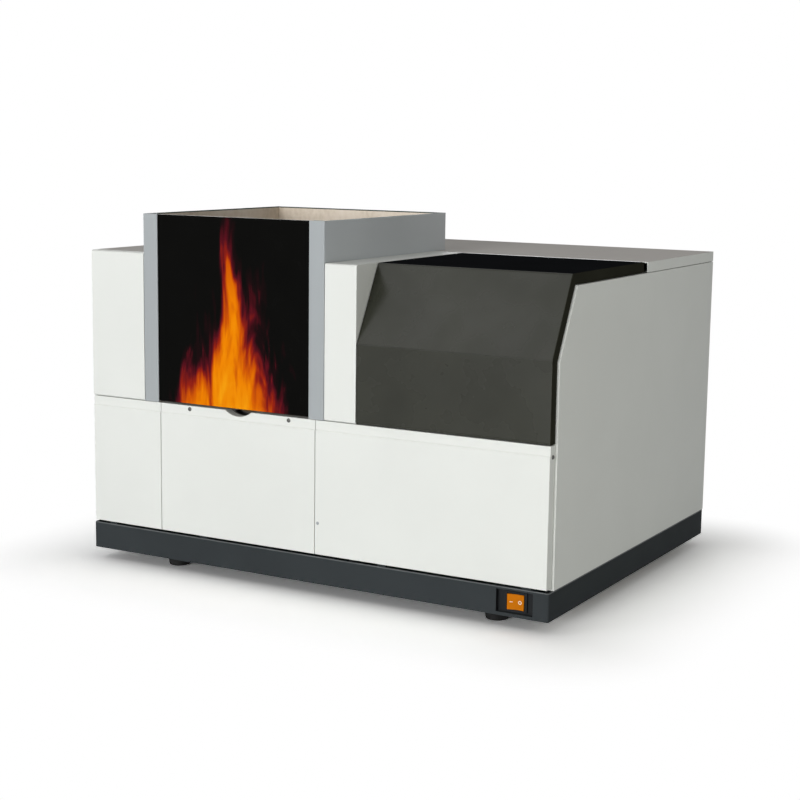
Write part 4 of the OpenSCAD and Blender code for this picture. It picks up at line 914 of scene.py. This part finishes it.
def make_panel_plug():
    """A small plug low on the right front panel."""
    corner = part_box("front_panel_right")[0]
    from_left, from_below = 4.5 * MM, 42 * MM
    button = turned("panel_plug", [(2.1 * MM, -0.6 * MM), (2.1 * MM, 0.25 * MM), (1.7 * MM, 0.5 * MM),
                                   (0.9 * MM, 0.6 * MM)], 24)
    round_edges(button, 0.1 * MM)
    button.data.transform(facing((corner.x + from_left, corner.y, corner.z + from_below), (0, -1, 0)))
    dress(button, "cabinet", "grey_paint")


def seal_and_shade_strips(name, runs, radius, finish=None):
    """Strips between pairs of corners, joined as one piece on the cabinet, black unless another finish is
    given.
    """
    strips = []
    for low, high in runs:
        strip = block("strip", low, high)
        round_edges(strip, radius)
        strips.append(strip)
    dress(join(name, strips), "cabinet", "black_rubber", finish=finish)


def make_gap_seal():
    """A dark green seal that closes the gap between duct wall and liner along the top."""
    front, rear = liner_low.y + 2 * MM, duct_high.y - SHEET
    top, bottom = duct_high.z - 0.1 * MM, duct_high.z - 7 * MM
    seal_and_shade_strips("duct_gap_seal", [
        ((duct_low.x + SHEET, front, bottom), (liner_low.x, rear, top)),
        ((liner_high.x, front, bottom), (duct_high.x - SHEET, rear, top)),
        ((liner_low.x, liner_high.y, bottom), (liner_high.x, rear, top)),
    ], 0.4 * MM, "seal_green")


def make_joint_shade_strips():
    """Black strips inside the joint of top cover and side panels, where it runs on behind the rear panel:
    painted shade that keeps the joint dark.
    """
    joint_height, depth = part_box("right_side_panel")[1].z, 1.0 * MM
    front, rear = rear_face + 0.3 * MM, cabinet_high.y - 2 * MM
    bottom, top = joint_height - 3 * MM, joint_height + 4 * MM
    runs = []
    for side in (-1, 1):
        inner = side * (cabinet_high.x - SHEET)
        left, right = sorted((inner, inner - side * depth))
        runs.append(((left, front, bottom), (right, rear, top)))
    seal_and_shade_strips("joint_shade_strips", runs, 0.3 * MM)


def make_spigots():
    """Barbed brass spigots with a bore, each clamped to the rear panel by two hexagon nuts."""
    places = loose_parts("hose_fittings")
    low, high = places[0]
    radius, bore, length = 4.5 * MM, 2.6 * MM, high.y - low.y
    root, crest, pitch, barbs = radius - 0.8 * MM, radius + 0.6 * MM, 6 * MM, 3
    steps = [(bore, -18 * MM), (bore, -0.4 * MM), (bore + 0.4 * MM, 0)]
    for i in range(barbs):
        steps += [(root, -pitch * i), (crest, -pitch * i - 4.2 * MM), (root, -pitch * i - 4.6 * MM)]
    steps += [(root, -barbs * pitch), (radius, -barbs * pitch - 0.8 * MM), (radius, -length)]
    tail = turned("tail", steps)
    round_edges(tail, 0.12 * MM)
    corner, chamfer, height = 9.5 * MM, 0.7 * MM, 6 * MM
    nut = turned("nut", [(corner - 0.8 * MM, 0), (corner, chamfer), (corner, height - chamfer),
                         (corner - 0.8 * MM, height)], 6)
    round_edges(nut, 0.2 * MM)
    ends, faces = [], []
    for low, high in places:
        middle = (low + high) / 2
        ends.append(facing((middle.x, high.y, middle.z), (0, 1, 0)))
        for y in (rear_face, rear_face - SHEET - height):
            faces.append(facing((middle.x, y, middle.z), (0, 1, 0)) @ rotation(30, "Z"))
    pieces = [copies("tails", tail, ends), copies("nuts", nut, faces)]
    dress(join("hose_spigots", pieces), "cabinet", "brass", "hose_fittings")


# What is inside

def make_knob_ribs():
    """Grip ribs round the two adjusting knobs inside the burner well."""
    ribs, rib_length = 24, 12 * MM
    knobs = (("height_knob", "height_adjuster", 1, False), ("fore_aft_knob", "fore_aft_adjuster", 2, True))
    for name, body, axis, at_high_end in knobs:
        low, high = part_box(name)
        radius = (high.x - low.x) / 2
        foot = (low + high) / 2
        foot[axis] = high[axis] - rib_length - 2 * MM if at_high_end else low[axis] + 2 * MM
        way = Vector((0, 0, 0))
        way[axis] = 1
        rib = block("rib", (-0.7 * MM, -0.6 * MM, 0), (0.7 * MM, 0.7 * MM, rib_length))
        round_edges(rib, 0.3 * MM)
        ring = [facing(foot, way) @ rotation(360 / ribs * i, "Z") @ Matrix.Translation((0, radius, 0))
                for i in range(ribs)]
        dress(copies(name + "_ribs", rib, ring), body, "black_plastic")


def chip_leg():
    """A chip's leg: a flat foot with an upright behind its bend."""
    half_width, length, thickness, bend, rise = 0.35 * MM, 1.5 * MM, 0.3 * MM, 0.4 * MM, 1.0 * MM
    leg = block("leg", (-half_width, 0, 0), (half_width, length, thickness))
    edit(leg)
    bpy.ops.mesh.select_all(action="SELECT")
    bpy.ops.mesh.bisect(plane_co=(0, bend, 0), plane_no=(0, 1, 0))
    bpy.ops.mesh.select_mode(type="FACE")
    bpy.ops.mesh.select_all(action="DESELECT")
    mesh = bmesh.from_edit_mesh(leg.data)
    for face in mesh.faces:
        face.select_set(face.normal.z > 0.9 and face.calc_center_median().y < bend)
    bmesh.update_edit_mesh(leg.data)
    bpy.ops.mesh.extrude_region_move(TRANSFORM_OT_translate={"value": (0, 0, rise)})
    done()
    return leg


def make_board():
    """The main board: dark chips with legs, and capacitors in sleeves with bare tops, on green laminate."""
    low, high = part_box("main_board")
    capacitor_height, chip_height = 20.4 * MM, 2.4 * MM
    laminate = high.z - capacitor_height
    chip_top = laminate + chip_height
    board = copy_of("main_board")
    round_edges(board, 0.2 * MM)
    dress(board, "cabinet", slot_of["main_board"], "main_board")
    finish_faces(board, "black_plastic",
                 lambda way, at: laminate + 0.1 * MM < at.z < chip_top + 0.2 * MM)
    finish_faces(board, "capacitor_sleeve", lambda way, at: at.z > chip_top + 0.6 * MM)
    finish_faces(board, "aluminium", lambda way, at: way.z > 0.9 and at.z > high.z - 1 * MM)
    columns, rows, legs, margin = 4, 3, 8, 25 * MM
    pitch_x, pitch_y = (high.x - low.x) / 4.6, (high.y - low.y) / 3.45
    chip_x, chip_y = 0.58 * pitch_x, 0.48 * pitch_y
    spots = []
    for i in range(columns):
        for k in range(rows):
            corner = Vector((low.x + margin + i * pitch_x, low.y + margin + k * pitch_y, laminate))
            for n in range(legs):
                along = chip_x * (n + 0.5) / legs
                spots.append(Matrix.Translation(corner + Vector((along, chip_y, 0))))
                spots.append(Matrix.Translation(corner + Vector((along, 0, 0))) @ rotation(180, "Z"))
    dress(copies("chip_legs", chip_leg(), spots), "cabinet", "plated_steel")


def make_burner_screws():
    """Socket-head screws that clamp the two halves of the burner head."""
    low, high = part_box("burner_head")
    count, height = 4, high.z - 11 * MM
    head = turned("burner_screws", [(3.2 * MM, -2 * MM), (3.2 * MM, 1.1 * MM), (2.9 * MM, 1.4 * MM),
                                    (1.7 * MM, 1.4 * MM)])
    cut_by(head, turned("socket", [(1.6 * MM, 0.3 * MM), (1.6 * MM, 3 * MM)], 6))
    round_edges(head, 0.12 * MM)
    spots = []
    for i in range(count):
        x = low.x + (high.x - low.x) * (i + 0.5) / count
        spots += [facing((x, low.y, height), (0, -1, 0)), facing((x, high.y, height), (0, 1, 0))]
    dress(copies("burner_screws", head, spots), "burner", "plated_steel")


def make_lamp_collars():
    """Bright collars where each lamp's glass meets its base."""
    bases = loose_parts("lamp_bases")
    low, high = bases[0]
    radius = (high.y - low.y) / 2
    outer = radius + 1.2 * MM
    collar = turned("lamp_collars", [(radius, 0), (outer, 0.3 * MM), (outer, 4.2 * MM),
                                     (radius, 4.8 * MM)], 48)
    round_edges(collar, 0.3 * MM)
    spots = []
    for low, high in bases:
        middle = (low + high) / 2
        spots.append(facing((low.x + 0.3 * MM, middle.y, middle.z), (1, 0, 0)))
    dress(copies("lamp_collars", collar, spots), "turret", "aluminium")


def make_motor_caps():
    """Cast end caps on the turret motor; the one at the shaft's end is bored."""
    low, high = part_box("turret_motor")
    depth, proud, corner, bore_radius = 8 * MM, 0.3 * MM, 4 * MM, 11.5 * MM
    caps = []
    for x, bored in ((low.x + 2 * MM, True), (high.x - depth, False)):
        cap = block("motor_caps", (x, low.y - proud, low.z - proud),
                    (x + depth, high.y + proud, high.z + proud))
        edit(cap)
        mesh = bmesh.from_edit_mesh(cap.data)
        for edge in mesh.edges:
            edge.select_set(abs(edge.verts[0].co.x - edge.verts[1].co.x) > 1 * MM)
        bmesh.update_edit_mesh(cap.data)
        bpy.ops.mesh.bevel(offset=corner, segments=1, affect="EDGES")
        done()
        if bored:
            bore = turned("bore", [(bore_radius, -5 * MM), (bore_radius, 20 * MM)])
            bore.data.transform(facing((x, (low.y + high.y) / 2, (low.z + high.z) / 2), (1, 0, 0)))
            cut_by(cap, bore)
        round_edges(cap, 0.4 * MM)
        caps.append(cap)
    dress(join("motor_caps", caps), "cabinet", "aluminium")


def dress_inside():
    """Every node that still shows keeps its CAD shape, with its edges broken and a finish of its own."""
    for name, piece in frame["nodes"].items():
        if piece.hide_render:
            continue
        piece.data.materials.clear()
        piece.data.materials.append(finishes[LOOKS.get(name, slot_of[name])])
        add_modifier(piece, "WELD", merge_threshold=MERGE)
        add_modifier(piece, "DECIMATE", decimate_type="DISSOLVE", angle_limit=math.radians(1))
        add_modifier(piece, "BEVEL", width=0.25 * MM, segments=2, limit_method="ANGLE",
                     angle_limit=math.radians(40))
        add_modifier(piece, "WEIGHTED_NORMAL", weight=80, keep_sharp=True)


place_camera()
light_studio()
lay_floor()
finishes = mix_finishes()
make_covers()
make_base()
make_hood()
make_shield()
make_switch()
make_notch_lip()
make_screws()
make_feet()
make_panel_plug()
make_knob_ribs()
make_spigots()
make_board()
make_burner_screws()
make_lamp_collars()
make_motor_caps()
make_gap_seal()
make_joint_shade_strips()
dress_inside()

bpy.context.scene.view_settings.view_transform = "Standard"
bpy.ops.object.select_all(action="DESELECT")
bpy.context.view_layer.update()
